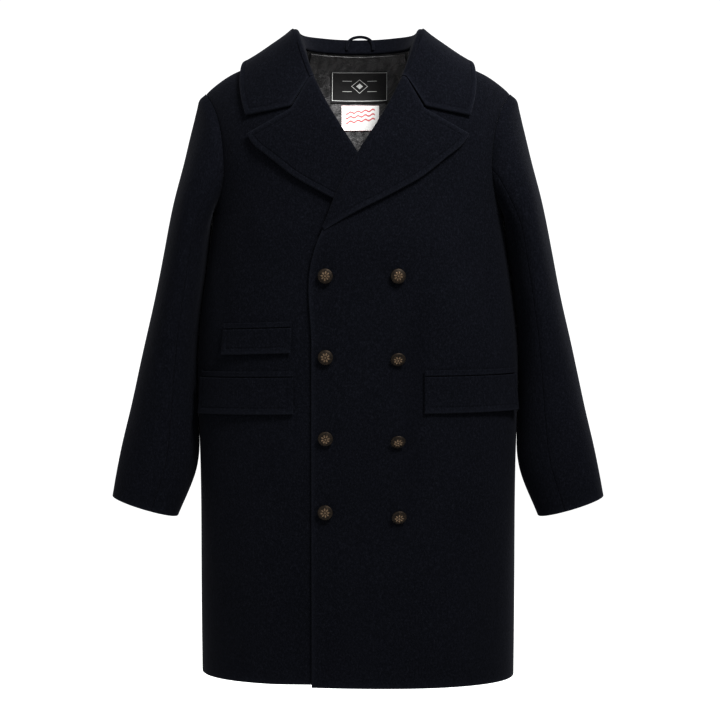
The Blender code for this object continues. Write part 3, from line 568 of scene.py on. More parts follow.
class Workroom:
    """Turns grids into finished pieces: mesh, finish, body and solid."""

    def __init__(self) -> None:
        """Starts the collection that holds the coat."""
        self.collection = bpy.data.collections.new("dressed_coat")
        bpy.context.scene.collection.children.link(self.collection)
        self.made = 0

    def finished(self, name: str, mesh: bpy.types.Mesh, finishes: Sequence[Finish], slot: str,
                 cut: Optional[Cut] = None) -> None:
        """Makes a mesh a piece of the coat, in place of the solid of the same name.

        Args:
            name: the piece's and the solid's name.
            mesh: its mesh, in metres and in place.
            finishes: its materials.
            slot: the record's material slot; not used.
            cut: its flat size, for cloth; not used.
        """
        for finish in finishes:
            mesh.materials.append(finish)
        piece = bpy.data.objects.new(name, mesh)
        self.collection.objects.link(piece)
        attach(piece, "root")
        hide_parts(name)
        self.made += 1
        LOG.info("%s: %d faces", name, len(mesh.polygons))

    def mesh(self, name: str, points: Grid, faces: Grid, plan: Optional[Grid] = None,
             marks: Optional[dict[str, Grid]] = None, inner_from: Optional[int] = None) -> bpy.types.Mesh:
        """A mesh from points in millimetres.

        Args:
            name: the mesh's name.
            points: one row for each point.
            faces: one row of point numbers for each face, all with as many corners.
            plan: the point's place on the flat cloth in decimetres, for the UV map.
            marks: numbers kept at each point, by name.
            inner_from: the first face that takes the second finish.

        Returns:
            The mesh, shaded smooth.
        """
        mesh = bpy.data.meshes.new(name)
        corners = faces.shape[1]
        mesh.vertices.add(len(points))
        mesh.vertices.foreach_set("co", (points * MM).astype(np.float32).ravel())
        mesh.loops.add(faces.size)
        mesh.loops.foreach_set("vertex_index", faces.astype(np.int32).ravel())
        mesh.polygons.add(len(faces))
        mesh.polygons.foreach_set("loop_start", np.arange(0, faces.size, corners, dtype=np.int32))
        if inner_from is not None:
            index = (np.arange(len(faces)) >= inner_from).astype(np.int32)
            mesh.polygons.foreach_set("material_index", index)
        if plan is not None:
            layer = mesh.uv_layers.new(name="cloth")
            layer.data.foreach_set("uv", plan[faces.ravel()].astype(np.float32).ravel())
        for key, values in (marks or {}).items():
            mark = mesh.attributes.new(name=key, type="FLOAT", domain="POINT")
            mark.data.foreach_set("value", values.astype(np.float32).ravel())
        mesh.update(calc_edges=True)
        mesh.validate()
        mesh.shade_smooth()
        return mesh

    def shell(self, name: str, outer: Grid, inner: Grid, marks: Optional[dict[str, Grid]] = None,
              lined: bool = False) -> bpy.types.Mesh:
        """A closed shell whose two grids share their rim.

        Args:
            name: the mesh's name.
            outer: grid of the side that shows, rows by columns.
            inner: grid of the other side, with the same rim.
            marks: numbers kept at each point of the outer grid, by name.
            lined: whether the inner side takes the second finish.

        Returns:
            The mesh, its faces outwards.
        """
        rows, columns = outer.shape[:2]
        index = np.arange(rows * columns).reshape(rows, columns)
        back = np.full((rows, columns), -1)
        back[1:-1, 1:-1] = rows * columns + np.arange((rows - 2) * (columns - 2)).reshape(rows - 2, columns - 2)
        back = np.where(back < 0, index, back)

        def strips(grid: Grid) -> Grid:
            """Quads of a grid, turning with the rows and then the columns."""
            return np.stack([grid[:-1, :-1], grid[:-1, 1:], grid[1:, 1:], grid[1:, :-1]], axis=-1).reshape(-1, 4)

        front, behind = strips(index), strips(back)[:, ::-1]
        points = np.concatenate([outer.reshape(-1, 3), inner[1:-1, 1:-1].reshape(-1, 3)])
        faces = outwards(points, np.concatenate([front, behind]))
        plan = np.stack([measured(outer, 1), measured(outer, 0)], axis=-1) / 100
        plan = np.concatenate([plan.reshape(-1, 2), plan[1:-1, 1:-1].reshape(-1, 2)])
        kept = {key: np.concatenate([grid.ravel(), grid[1:-1, 1:-1].ravel()])
                for key, grid in (marks or {}).items()}
        return self.mesh(name, points, faces, plan, kept, len(front) if lined else None)

    def sew(self, name: str, slot: str, finishes: Sequence[Finish], grids: tuple[Grid, Grid],
            marks: dict[str, Grid], cut: Cut, side: Side = Side.LEFT) -> None:
        """Closes two grids and makes them a piece of cloth, with a second finish on its inner side.

        Args:
            name: the piece's name.
            slot: the record's material slot.
            finishes: one finish, or the outer and the inner one.
            grids: outer and inner grid, on the wearer's left.
            marks: numbers kept at each point of the outer grid, by name.
            cut: its flat size.
            side: the wearer's side that the piece is mirrored to.
        """
        outer, inner = (flip(grid, side) for grid in grids)
        mesh = self.shell(name, outer, inner, marks, lined=len(finishes) > 1)
        self.finished(name, mesh, finishes, slot, cut)


def outwards(points: Grid, faces: Grid) -> Grid:
    """Faces of a closed mesh, turned over where its volume comes out negative.

    Args:
        points: one row for each point.
        faces: one row of point numbers for each face, all turning the same way.

    Returns:
        The faces, pointing outwards.
    """
    corners = points[faces] - points[0]
    volume = sum((np.cross(corners[:, 0], corners[:, k]) * corners[:, k + 1]).sum()
                 for k in range(1, faces.shape[1] - 1))
    return faces if volume >= 0 else faces[:, ::-1]


def shell_grids(middle: Grid, away: Grid, thickness: Number, radii: dict[Edge, Number],
                push: Number = 0.0, pinch: Number = 0.0) -> tuple[Grid, Grid]:
    """Outer and inner grid round a middle surface.

    Args:
        middle: the middle surface.
        away: direction out of it.
        thickness: of the cloth away from its edges.
        radii: radius to which each edge rolls.
        push: how far the whole cloth goes in at each point.
        pinch: how much each side is drawn in.

    Returns:
        middle + away (h - push) and middle - away (h + push), where h is half the thickness times the
        edges' share, less the pinch.
    """
    share = rolled(middle, radii)
    half = np.maximum(thickness / 2 - pinch, 0.2) * share
    shift = away * np.asarray(push)[..., None]
    return middle + away * half[..., None] - shift, middle - away * half[..., None] - shift


def blended(away: Grid, other: Grid, share: Grid) -> Grid:
    """Directions turned towards other ones by a share."""
    return unit(away * (1 - share[..., None]) + other * share[..., None])


def worn_edge(points: Grid, edges: Sequence[Edge], reach: float = 3.0) -> Grid:
    """Wear along turned edges: exp(-d / reach) from the nearest of them."""
    return np.exp(-nearest_edge(points, edges) / reach)


# ------------ sleeves
class Rib(NamedTuple):
    """One rib of a sleeve: its outer and inner point, its depth and how far back its middle lies."""
    s: float
    outer_x: float
    outer_z: float
    inner_x: float
    inner_z: float
    depth: float
    y: float


RIBS = (
    Rib(0.00, 226.0, -54, 216.0, -235, 127, 0), Rib(0.06, 236.5, -67, 218.0, -242, 142, 3),
    Rib(0.13, 246.5, -103, 219.0, -253, 154, 6), Rib(0.22, 259.5, -155, 220.0, -273, 162, 10),
    Rib(0.32, 274.5, -212, 222.5, -303, 165, 12), Rib(0.44, 289.5, -286, 228.5, -350, 163, 11),
    Rib(0.55, 304.5, -360, 235.0, -406, 157, 8), Rib(0.67, 321.0, -434, 237.5, -472, 146, 3),
    Rib(0.79, 337.5, -510, 237.0, -542, 131, -4), Rib(0.90, 353.5, -580, 242.0, -612, 108, -13),
    Rib(1.00, 367.0, -652, 269.5, -682, 84, -20),
)


@dataclass(frozen=True)
class Sleeve:
    """A two-piece sleeve: ellipses on ribs, drawn to the armhole at its head.

    Its turn starts at the outer line and goes over the front, the inner line and the back; its s goes
    from the armhole, 0, to the cuff, 1.
    """
    cloth: float = 3.0
    body_clear: float = 1.2
    head: float = 0.30
    seam_turn: float = radians(105)
    length: float = 640.0
    girth: float = 400.0
    step: float = 4.6
    underarm_fade: float = 10.0

    def loop(self, turn: Number) -> Grid:
        """Point of the armhole seam at a turn.

        Args:
            turn: round the armhole.

        Returns:
            The points.
        """
        climb = (1 + np.cos(turn)) / 2
        z = FORM.underarm_z + (FORM.shoulder[1] - FORM.underarm_z) * climb
        behind = np.sin(turn) < 0
        return FORM.point(FORM.angle(FORM.armhole(z, behind), z, behind), z)

    def ring(self, s: Number, turn: Number) -> Grid:
        """Ellipse of the ribs: centre + cos(turn) outwards - sin(turn) forwards.

        Args:
            s, turn: along and round the sleeve.

        Returns:
            The points.
        """
        rib = {name: smooth_curve([r.s for r in RIBS], [getattr(r, name) for r in RIBS], s)
               for name in Rib._fields[1:]}
        middle_x, middle_z = (rib["outer_x"] + rib["inner_x"]) / 2, (rib["outer_z"] + rib["inner_z"]) / 2
        return stack(middle_x + np.cos(turn) * (rib["outer_x"] - middle_x),
                     rib["y"] - np.sin(turn) * rib["depth"] / 2,
                     middle_z + np.cos(turn) * (rib["outer_z"] - middle_z))

    def surface(self, s: Grid, turn: Grid) -> Grid:
        """The outer cloth, on the wearer's left: ring, head drawn to the armhole, clear of the body.

        Args:
            s, turn: along and round the sleeve.

        Returns:
            The points.
        """
        drawn = (1 - ease(s / self.head))[..., None]
        points = self.ring(s, turn) + drawn * (self.loop(turn) - self.ring(np.zeros_like(s), turn))
        y, z = points[..., 1], points[..., 2]
        depth = np.where(y < 0, FORM.size("front", z), FORM.size("back", z))
        share = (1 - np.clip(np.abs(y) / depth, 0, 1) ** FORM.section_power) ** (1 / FORM.section_power)
        beside = FORM.size("half_width", z) * share + self.body_clear
        low = ease((FORM.underarm_z - z) / self.underarm_fade) * (s > 0)
        points[..., 0] += low * np.maximum(beside - points[..., 0], 0)
        return points

    def grid(self, first: float, last: float) -> tuple[Grid, Grid]:
        """s and turn over one piece, finer at its seams and at the cuff.

        Args:
            first, last: the piece's two turns.

        Returns:
            s and turn at each point.
        """
        s = run_of_cloth(self.length, self.step)[:, None]
        turn = first + (last - first) * run_of_cloth(self.girth * (last - first) / (2 * pi), self.step)[None, :]
        return np.broadcast_arrays(s, turn)

    def away(self, points: Grid) -> Grid:
        """Direction out of the sleeve.

        Args:
            points: grid of the sleeve.

        Returns:
            One direction for each point.
        """
        away = sheet_normals(points)
        row = len(points) * 2 // 3
        outwards = (away[row] * (points[row] - points[row].mean(axis=0))).sum()
        return away * (1 if outwards > 0 else -1)


SLEEVE = Sleeve()


@dataclass(frozen=True)
class Armhole:
    """The direction out of the cloth that body and sleeve share along their seam."""
    steps: int = 24
    reach: float = 14.0

    def table(self) -> tuple[Grid, Grid]:
        """Turns once round the armhole and the shared direction at each: half the sleeve's, half the body's.

        Returns:
            The turns and the directions.
        """
        turn = np.linspace(0, 2 * pi, self.steps + 1)
        past = np.linspace(-0.3, 2 * pi + 0.3, 241)
        head = SLEEVE.surface(*np.broadcast_arrays(np.linspace(0, 0.03, 4)[:, None], past))
        of_sleeve = bent_line(turn, past, sheet_normals(head)[0])
        of_sleeve *= -1 if of_sleeve[0, 2] < 0 else 1
        z = SLEEVE.loop(turn)[:, 2]
        behind = np.sin(turn) < -1e-6
        of_body = FORM.away(FORM.angle(FORM.armhole(z, behind), z, behind), z)
        of_body[[0, -1]] = unit(np.array([0.8, 0.0, 1.0]))      # on the shoulder point
        of_body[self.steps // 2] = (1.0, 0.0, 0.0)              # under the arm
        return turn, unit(unit(of_sleeve) + of_body)

    def away(self, turn: Number) -> Grid:
        """Shared direction at a turn."""
        return unit(bent_line(np.mod(turn, 2 * pi), *self.table()))


ARM_SEAM = Armhole()

SLEEVE_CREASES = {
    # (turn in degrees, mm from the armhole): the inner elbow, the front break and the back's drag lines
    Side.LEFT: (
        Crease((132, 330), (60, 372), 5, 11, 1.7), Crease((140, 288), (84, 306), -4, 9, 1.0, -0.4),
        Crease((128, 410), (86, 436), 4, 10, 0.9), Crease((118, 70), (100, 190), 6, 12, 1.6, -0.5),
        Crease((250, 96), (236, 210), -6, 14, 1.8), Crease((226, 352), (284, 338), -6, 12, 1.6, -0.4),
        Crease((222, 396), (268, 404), 4, 11, 1.1), Crease((300, 120), (284, 240), 5, 16, 0.9),
        Crease((34, 420), (20, 560), 7, 18, 0.8), Crease((200, 500), (236, 560), -5, 10, 0.8),
    ),
    Side.RIGHT: (
        Crease((136, 346), (52, 330), -6, 12, 1.5, -0.4), Crease((130, 390), (74, 420), 5, 10, 1.2),
        Crease((140, 300), (96, 284), 3, 8, 0.8), Crease((116, 60), (104, 168), -5, 12, 1.5, -0.5),
        Crease((246, 110), (240, 230), 5, 13, 1.6), Crease((224, 336), (276, 356), 6, 12, 1.7, -0.4),
        Crease((230, 420), (262, 408), -4, 10, 0.9), Crease((296, 150), (288, 280), -5, 15, 1.0),
        Crease((28, 440), (38, 580), -7, 18, 0.9), Crease((206, 520), (240, 566), 4, 11, 0.7),
    ),
}


@dataclass(frozen=True)
class SleeveMaker:
    """Cuts, closes and dresses the top and under sleeve of one side."""
    side: Side
    shop: Workroom
    wool: Finish
    lining: Finish
    top_cut: Cut = Cut(0.26, 0.66, 0.135)
    under_cut: Cut = Cut(0.19, 0.58, 0.080)
    head_swell: float = 1.5
    unevenness: float = 0.45

    def make(self) -> None:
        """Makes both pieces of the sleeve."""
        seam = SLEEVE.seam_turn
        self.piece("sleeve_top_" + self.side.word, -seam, seam, self.top_cut)
        self.piece("sleeve_under_" + self.side.word, seam, 2 * pi - seam, self.under_cut)

    def piece(self, name: str, first: float, last: float, cut: Cut) -> None:
        """One piece between two turns, creased, with a soft sleeve head and a turned cuff.

        Args:
            name: of the piece.
            first, last: its two turns.
            cut: its flat size.
        """
        s, turn = SLEEVE.grid(first, last)
        points = SLEEVE.surface(s, turn)
        away = SLEEVE.away(points)
        down = measured(points, 0)
        away = blended(away, ARM_SEAM.away(turn), 1 - ease(down / ARM_SEAM.reach))
        head = self.head_swell * np.clip(np.cos(turn), 0, 1) * bell(down - 13, 9)
        from_seams = nearest_edge(points, BOTH_SIDES)
        held = ease(from_seams / 12) * ease(down / 25) * ease(edge_distance(points, Edge.LAST_ROW) / 30)
        degrees = np.degrees(turn)
        push = (creased(SLEEVE_CREASES[self.side], degrees, down) * (0.35 + 0.65 * held) + seam_dip(from_seams)
                + self.unevenness * held * unrest(degrees, down, 46, 1.3 * self.side.value) - head)
        grids = shell_grids(points - away * SLEEVE.cloth / 2, away, SLEEVE.cloth,
                            {**SEWN_ROUND, Edge.LAST_ROW: SLEEVE.cloth / 2}, push)
        marks = {"worn": worn_edge(points, [Edge.LAST_ROW]), "hollow": hollow_share(push)}
        self.shop.sew(name, "wool", (self.wool, self.lining), grids, marks, cut, self.side)


# ------------ fronts and back
FRONT_CREASES = {
    # (arc from the centre front, height) on the wearer's own side
    Side.LEFT: (
        Crease((74, -745), (92, -330), 7, 16, 3.2, -0.5), Crease((138, -700), (128, -520), -6, 20, -0.9, 0.0),
        Crease((196, -238), (150, -330), 6, 15, 1.7, -0.4), Crease((226, -250), (206, -420), -8, 14, 1.4),
        Crease((20, -900), (8, -760), 5, 24, 0.9), Crease((210, -890), (190, -640), -9, 30, 1.4),
        Crease((120, -120), (150, -176), 6, 14, 0.8), Crease((170, -96), (176, -190), 5, 15, 1.0),
    ),
    Side.RIGHT: (
        Crease((104, -700), (116, -480), -7, 24, 1.0), Crease((198, -240), (160, -318), -5, 13, 1.5, -0.4),
        Crease((222, -262), (200, -400), 6, 15, 1.5), Crease((196, -880), (210, -600), 8, 28, 1.3),
        Crease((90, -910), (100, -740), -6, 22, 1.0), Crease((172, -104), (180, -206), -5, 16, 1.0),
        Crease((100, -250), (118, -350), 5, 18, 0.8),
    ),
}
BACK_CREASES = (
    Crease((-200, -240), (-120, -330), 9, 18, 2.0, -0.4), Crease((206, -250), (110, -352), -8, 17, 2.1),
    Crease((-230, -268), (-176, -440), -8, 15, 1.6), Crease((232, -256), (170, -400), 9, 16, 1.5, -0.4),
    Crease((-150, -890), (-120, -560), 12, 34, 2.6), Crease((-46, -905), (-60, -640), -8, 26, 1.8, -0.5),
    Crease((70, -900), (52, -600), 9, 30, 2.3), Crease((170, -880), (140, -660), -10, 28, 1.7, -0.4),
    Crease((-70, -130), (60, -122), -10, 15, 1.2), Crease((-30, -440), (-150, -470), 6, 16, 1.3),
    Crease((20, -470), (140, -452), -7, 18, 1.2, -0.4), Crease((-150, -90), (-166, -190), 5, 17, 1.2),
    Crease((158, -96), (170, -206), -6, 17, 1.2),
)


def above_arm(top: Number, climb: Number) -> Number:
    """Height at a climb from the underarm, 0, to `top`, 1."""
    return FORM.underarm_z + (top - FORM.underarm_z) * climb


@dataclass(frozen=True)
class BodyMaker:
    """Cuts, closes and dresses the two fronts and the back."""
    shop: Workroom
    wool: Finish
    lining: Finish
    cloth: float = 3.0
    step: float = 5.0
    hem_left: float = -924.0
    hem_right: float = -918.0
    hem_over: float = -917.0
    hem_under: float = -912.0
    neck_share: float = 6 / 17
    neck_columns: int = 24
    skirt_length: float = 684.0
    front_width: float = 372.0
    front_run: float = 358.0
    back_run: float = 210.0
    over_swell: float = 0.6
    front_cut: Cut = Cut(0.38, 0.96, 0.31)
    back_cut: Cut = Cut(0.62, 0.98, 0.54)

    def climb(self, back: bool) -> Grid:
        """Heights from the underarm, 0, to the shoulder ridge, 1, at even lengths of cloth.

        Args:
            back: whether they are the back's.

        Returns:
            The rising climbs.
        """
        fine = (1 - np.cos(np.linspace(0, pi, 900))) / 2
        z = above_arm(FORM.ridge(150.0) - 0.01, fine)
        length = run_length(FORM.point(FORM.angle(150.0, z, back), z))
        return np.interp(run_of_cloth(length[-1], self.step, first=False) * length[-1], length, fine)

    def levels(self, back: bool) -> tuple[Grid, Grid, Grid, Grid]:
        """The rows of a front or the back.

        Args:
            back: whether they are the back's.

        Returns:
            Shares of the skirt's height, shares of the height above the underarm, the armhole's height
            at those, and the climb of every row, which is -1 in the skirt.
        """
        level = run_of_cloth(self.skirt_length, self.step + 1, last=False)[:-1, None]
        climb = self.climb(back)[:, None]
        rows = np.concatenate([np.full(len(level), -1.0), climb[:, 0]])
        return level, climb, above_arm(FORM.shoulder[1], climb), rows

    def front_places(self, hem_in: float, hem_out: float) -> tuple[Grid, Grid, Grid]:
        """x and z of a front's points on its own side, and the climb of each row (below 0 under the arm).

        Args:
            hem_in, hem_out: hem heights at the front edge and the side.

        Returns:
            x, z and the climbs.
        """
        near = np.array(STITCHED_EDGE) / self.front_width
        share = np.concatenate([near[:-1], near[-1] + (1 - near[-1])
                                * run_of_cloth(self.front_run, self.step, first=False)])
        hem = hem_in + (hem_out - hem_in) * share
        level, climb, side_z, rows = self.levels(False)
        low_z = hem + (FORM.underarm_z - hem) * level
        low_x = FORM.across(FORM.roll(low_z), FORM.size("half_width", low_z), low_z, share)
        top_x = FORM.across(FORM.neck[0], FORM.shoulder[0], FORM.shoulder[1], share)
        high_z = above_arm(FORM.ridge(top_x), climb)
        high_x = FORM.across(FORM.roll(high_z[:, :1]), FORM.armhole(side_z, False), side_z, share)
        return np.vstack([low_x, high_x]), np.vstack([low_z, high_z]), rows

    def back_places(self) -> tuple[Grid, Grid, Grid]:
        """x and z of the back's points, from the wearer's right to the left, and the climb of each row.

        Returns:
            x, z and the climbs.
        """
        outside = self.neck_share + (1 - self.neck_share) * run_of_cloth(self.back_run, self.step, first=False)
        share = np.concatenate([np.linspace(0, self.neck_share, self.neck_columns)[:-1], outside])
        inside = share < self.neck_share - 1e-9
        turn = share[inside] / self.neck_share * pi / 2
        neck_x = FORM.neck[0] * np.sin(turn) ** (2 / FORM.neck_power)
        beyond = (share[~inside] - self.neck_share) / (1 - self.neck_share)
        ridge_x = FORM.across(FORM.neck[0], FORM.shoulder[0], FORM.shoulder[1], beyond)
        top_x = np.concatenate([neck_x, ridge_x])
        top_z = np.concatenate([FORM.neck_seam_z(neck_x), FORM.ridge(ridge_x)])
        level, climb, side_z, rows = self.levels(True)
        side_x = FORM.armhole(side_z, True)
        even = FORM.across(0.0, side_x, side_z, share)
        high_x = even + (top_x * side_x / FORM.shoulder[0] - even) * climb
        middle = (self.hem_left + self.hem_right) / 2
        halves = []
        for corner in (self.hem_right, self.hem_left):
            hem = middle + (corner - middle) * share
            low_z = hem + (FORM.underarm_z - hem) * level
            low_x = FORM.across(0.0, FORM.size("half_width", low_z), low_z, share)
            halves.append((np.vstack([low_x, high_x]), np.vstack([low_z, above_arm(top_z, climb)])))
        right, left = halves
        return (np.hstack([-right[0][:, :0:-1], left[0]]), np.hstack([right[1][:, :0:-1], left[1]]), rows)

    def surface(self, x: Grid, z: Grid, rows: Grid, back: bool) -> tuple[Grid, Grid]:
        """The form's points at x and z, and the direction out of the cloth, shared along the seams.

        Args:
            x, z: places.
            rows: climb of each row.
            back: whether they are on the back.

        Returns:
            The points and the directions.
        """
        points = FORM.point(FORM.angle(x, z, back), z)
        on_ridge = np.abs(x[-1]) >= FORM.neck[0] - 0.01
        points[-1, :, 1] = np.where(on_ridge, 0.0, points[-1, :, 1])
        away = sheet_normals(points)
        away *= 1 if (away[10, :, 1] * (1 if back else -1)).mean() > 0 else -1
        slope = FORM.ridge(x[-1] + 0.5) - FORM.ridge(x[-1] - 0.5)
        near = (1 - ease(edge_distance(points, Edge.LAST_ROW) / 9)) * on_ridge
        away = blended(away, unit(stack(-slope, 0.0, 1.0)), near)
        # turn of each row round the armhole
        turn = np.arccos(np.clip(2 * rows - 1, -1, 1))
        shared = ARM_SEAM.away(2 * pi - turn if back else turn)[:, None, :]
        high = (rows >= 0)[:, None]
        sides = [(Edge.LAST_COLUMN, Side.LEFT)] + ([(Edge.FIRST_COLUMN, Side.RIGHT)] if back else [])
        for edge, side in sides:
            near = (1 - ease(edge_distance(points, edge) / ARM_SEAM.reach)) * high
            away = blended(away, flip(shared, side), near)
        return points, away

    def front(self, side: Side) -> None:
        """One front, laid over or under the other, with an edge stitch beside the buttons.

        Args:
            side: the left front lies over.
        """
        left = side is Side.LEFT
        x, z, rows = self.front_places(self.hem_over if left else self.hem_under,
                                       self.hem_left if left else self.hem_right)
        points, away = self.surface(x, z, rows, back=False)
        layer = FORM.front_layer(side, x * side.value, z)
        from_edge, from_side, from_ridge = (
            edge_distance(points, edge) for edge in (*BOTH_SIDES, Edge.LAST_ROW))
        layer = layer * np.where((rows >= 0)[:, None], ease(from_side / 16), 1.0)
        arc = FORM.arc(FORM.angle(x, z))
        calm = ease(nearest_edge(points, (Edge.LAST_ROW, Edge.LAST_COLUMN, Edge.FIRST_ROW)) / 26)
        push = creased(FRONT_CREASES[side], arc, z) * calm + 0.5 * calm * unrest(arc, z, 80, 2.2 + side.value)
        push = push * ease(from_edge / 10) + seam_dip(from_side) + seam_dip(from_ridge)
        if left:
            beside_edge = 0.45 * stitch_line(from_edge, 7.5) - self.over_swell * bell(from_edge, 13)
            push = push + ease((-z - 262) / 30) * beside_edge      # below the lapel
        turned = self.cloth / 2
        grids = shell_grids(points + away * (layer - turned)[..., None], away, self.cloth,
                            {**SEWN_ROUND, Edge.FIRST_ROW: turned, Edge.FIRST_COLUMN: turned}, push)
        marks = {"worn": worn_edge(points, [Edge.FIRST_ROW, Edge.FIRST_COLUMN]), "hollow": hollow_share(push)}
        self.shop.sew("front_" + side.word, "wool", (self.wool, self.lining), grids, marks, self.front_cut, side)

    def back(self) -> None:
        """The back, with the centre seam and its folds."""
        x, z, rows = self.back_places()
        points, away = self.surface(x, z, rows, back=True)
        arc = FORM.arc(FORM.angle(np.abs(x), z, True))
        arc = np.sign(x) * (FORM.arc(pi) - arc)
        calm = ease(nearest_edge(points, tuple(Edge)) / 26)
        seams = nearest_edge(points, (*BOTH_SIDES, Edge.LAST_ROW))
        push = (creased(BACK_CREASES, arc, z) * calm + 0.6 * calm * unrest(arc, z, 90, 5.1)
                + seam_dip(x, 0.55, 2.4) + seam_dip(seams))
        grids = shell_grids(points - away * self.cloth / 2, away, self.cloth,
                            {**SEWN_ROUND, Edge.FIRST_ROW: self.cloth / 2}, push)
        marks = {"worn": worn_edge(points, [Edge.FIRST_ROW]), "hollow": hollow_share(push)}
        self.shop.sew("back", "wool", (self.wool, self.lining), grids, marks, self.back_cut)

    def make(self) -> None:
        """Makes both fronts and the back."""
        for side in Side:
            self.front(side)
        self.back()


# ------------ collar and lapels
NOTCH_SHARES = (0, 3 / 7, 5 / 7, 1)       # shares across a lapel and the collar at which the end bends
FOOT_ROWS = (1.0, 0.97, 0.9, 0.8, 0.62)   # rows of a turned patch's foot, as shares of its depth
GORGE_ROUND = 0.5                         # radius of an end where it is sewn
FAR_OFF = 60.0                            # keeps topstitching away from a sewn end


def turned_over(seam: Grid, beside: Grid, up: Grid, foot: float, height: Grid, turn_end: float,
                fold_beside: Number = 3.5, fold_radius: Number = 3.1) -> Grid:
    """Rows of cloth that rises beside an edge and starts to turn over it.

    Args:
        seam: points of the edge, one for each column.
        beside: direction past the edge.
        up: direction out of what carries it.
        foot: how far the rows start below the edge.
        height: how far they rise before they turn.
        turn_end: angle of the turn's last row.
        fold_beside: where the rising cloth stands, past the edge.
        fold_radius: radius of the turn.

    Returns:
        Grid of seam + beside b + up h, first straight up and then round a circle.
    """
    height = np.broadcast_to(height, seam.shape[:1])[:, None]
    start = foot * np.array(FOOT_ROWS)[:, None, None]
    straight = np.linspace(0.05, 1, 6)[:, None, None]
    rise = np.concatenate([-start + 0 * height, -start[-1] + (height + start[-1]) * straight])
    rows = seam + beside * fold_beside + up * rise
    turn = np.linspace(0, turn_end, 12)[1:, None, None]
    over = (seam + beside * (fold_beside - fold_radius + fold_radius * np.cos(turn))
            + up * (height + fold_radius * np.sin(turn)))
    return np.concatenate([rows, over])


def toward_notch(length: float, step: float, first: bool) -> Grid:
    """Fractions 0..1 along a lapel or half the collar, close together at the stitching of its end.

    Args:
        length: the run in millimetres.
        step: spacing away from the edges.
        first: whether the run starts at an edge that is rounded over.

    Returns:
        The rising fractions.
    """
    near = np.array(STITCHED_EDGE)[::-1] / length
    return np.concatenate([run_of_cloth(length - 13, step, first, False)[:-1] * (1 - near[0]), 1 - near])


def turned_patch(line: Grid, edge: Grid, corners: Grid, share: Grid, power: float) -> tuple[Grid, Grid]:
    """Places from a fold line to an outer edge, whose last column bends at the notch.

    Args:
        line: points of the fold line, one for each column.
        edge: points of the outer edge.
        corners: where the last column bends, and its end.
        share: fraction of each column along the line.
        power: how late the columns start to bend.

    Returns:
        Shares across, and line + (edge - line) across, bent by share^power of the way to the corners.
    """
    across = toward_edge(np.linalg.norm(edge - line, axis=-1), 2.8)[1:]
    straight = line[-1] + (edge[-1] - line[-1]) * across[..., None]
    bent = bent_line(across, NOTCH_SHARES, np.vstack([line[-1:], corners]))
    return across, line + (edge - line) * across[..., None] + (share**power)[:, None] * (bent - straight)


def notched(middle: Grid, across: Grid, cloth: float, ends: Sequence[Edge]) -> tuple[dict[Edge, Number], Grid]:
    """Edges of a turned patch whose ends are sewn up to the notch and free beyond it.

    Args:
        middle: the patch's middle surface, its rows on the turn first.
        across: shares across its lying rows.
        cloth: its thickness.
        ends: its end columns.

    Returns:
        The radius to which each edge rolls, and how far the topstitching draws the cloth in.
    """
    last = np.concatenate([np.zeros(len(middle) - len(across)), across[:, -1]])[:, None]
    free = ease((last - NOTCH_SHARES[1] + 0.02) / 0.05)
    radius = GORGE_ROUND + (cloth / 2 - GORGE_ROUND) * free
    ends_off = nearest_edge(middle, ends) + FAR_OFF * (1 - free)
    radii = {edge: radius if edge in ends else cloth / 2 for edge in Edge}
    return radii, stitch_line(np.minimum(edge_distance(middle, Edge.LAST_ROW), ends_off))


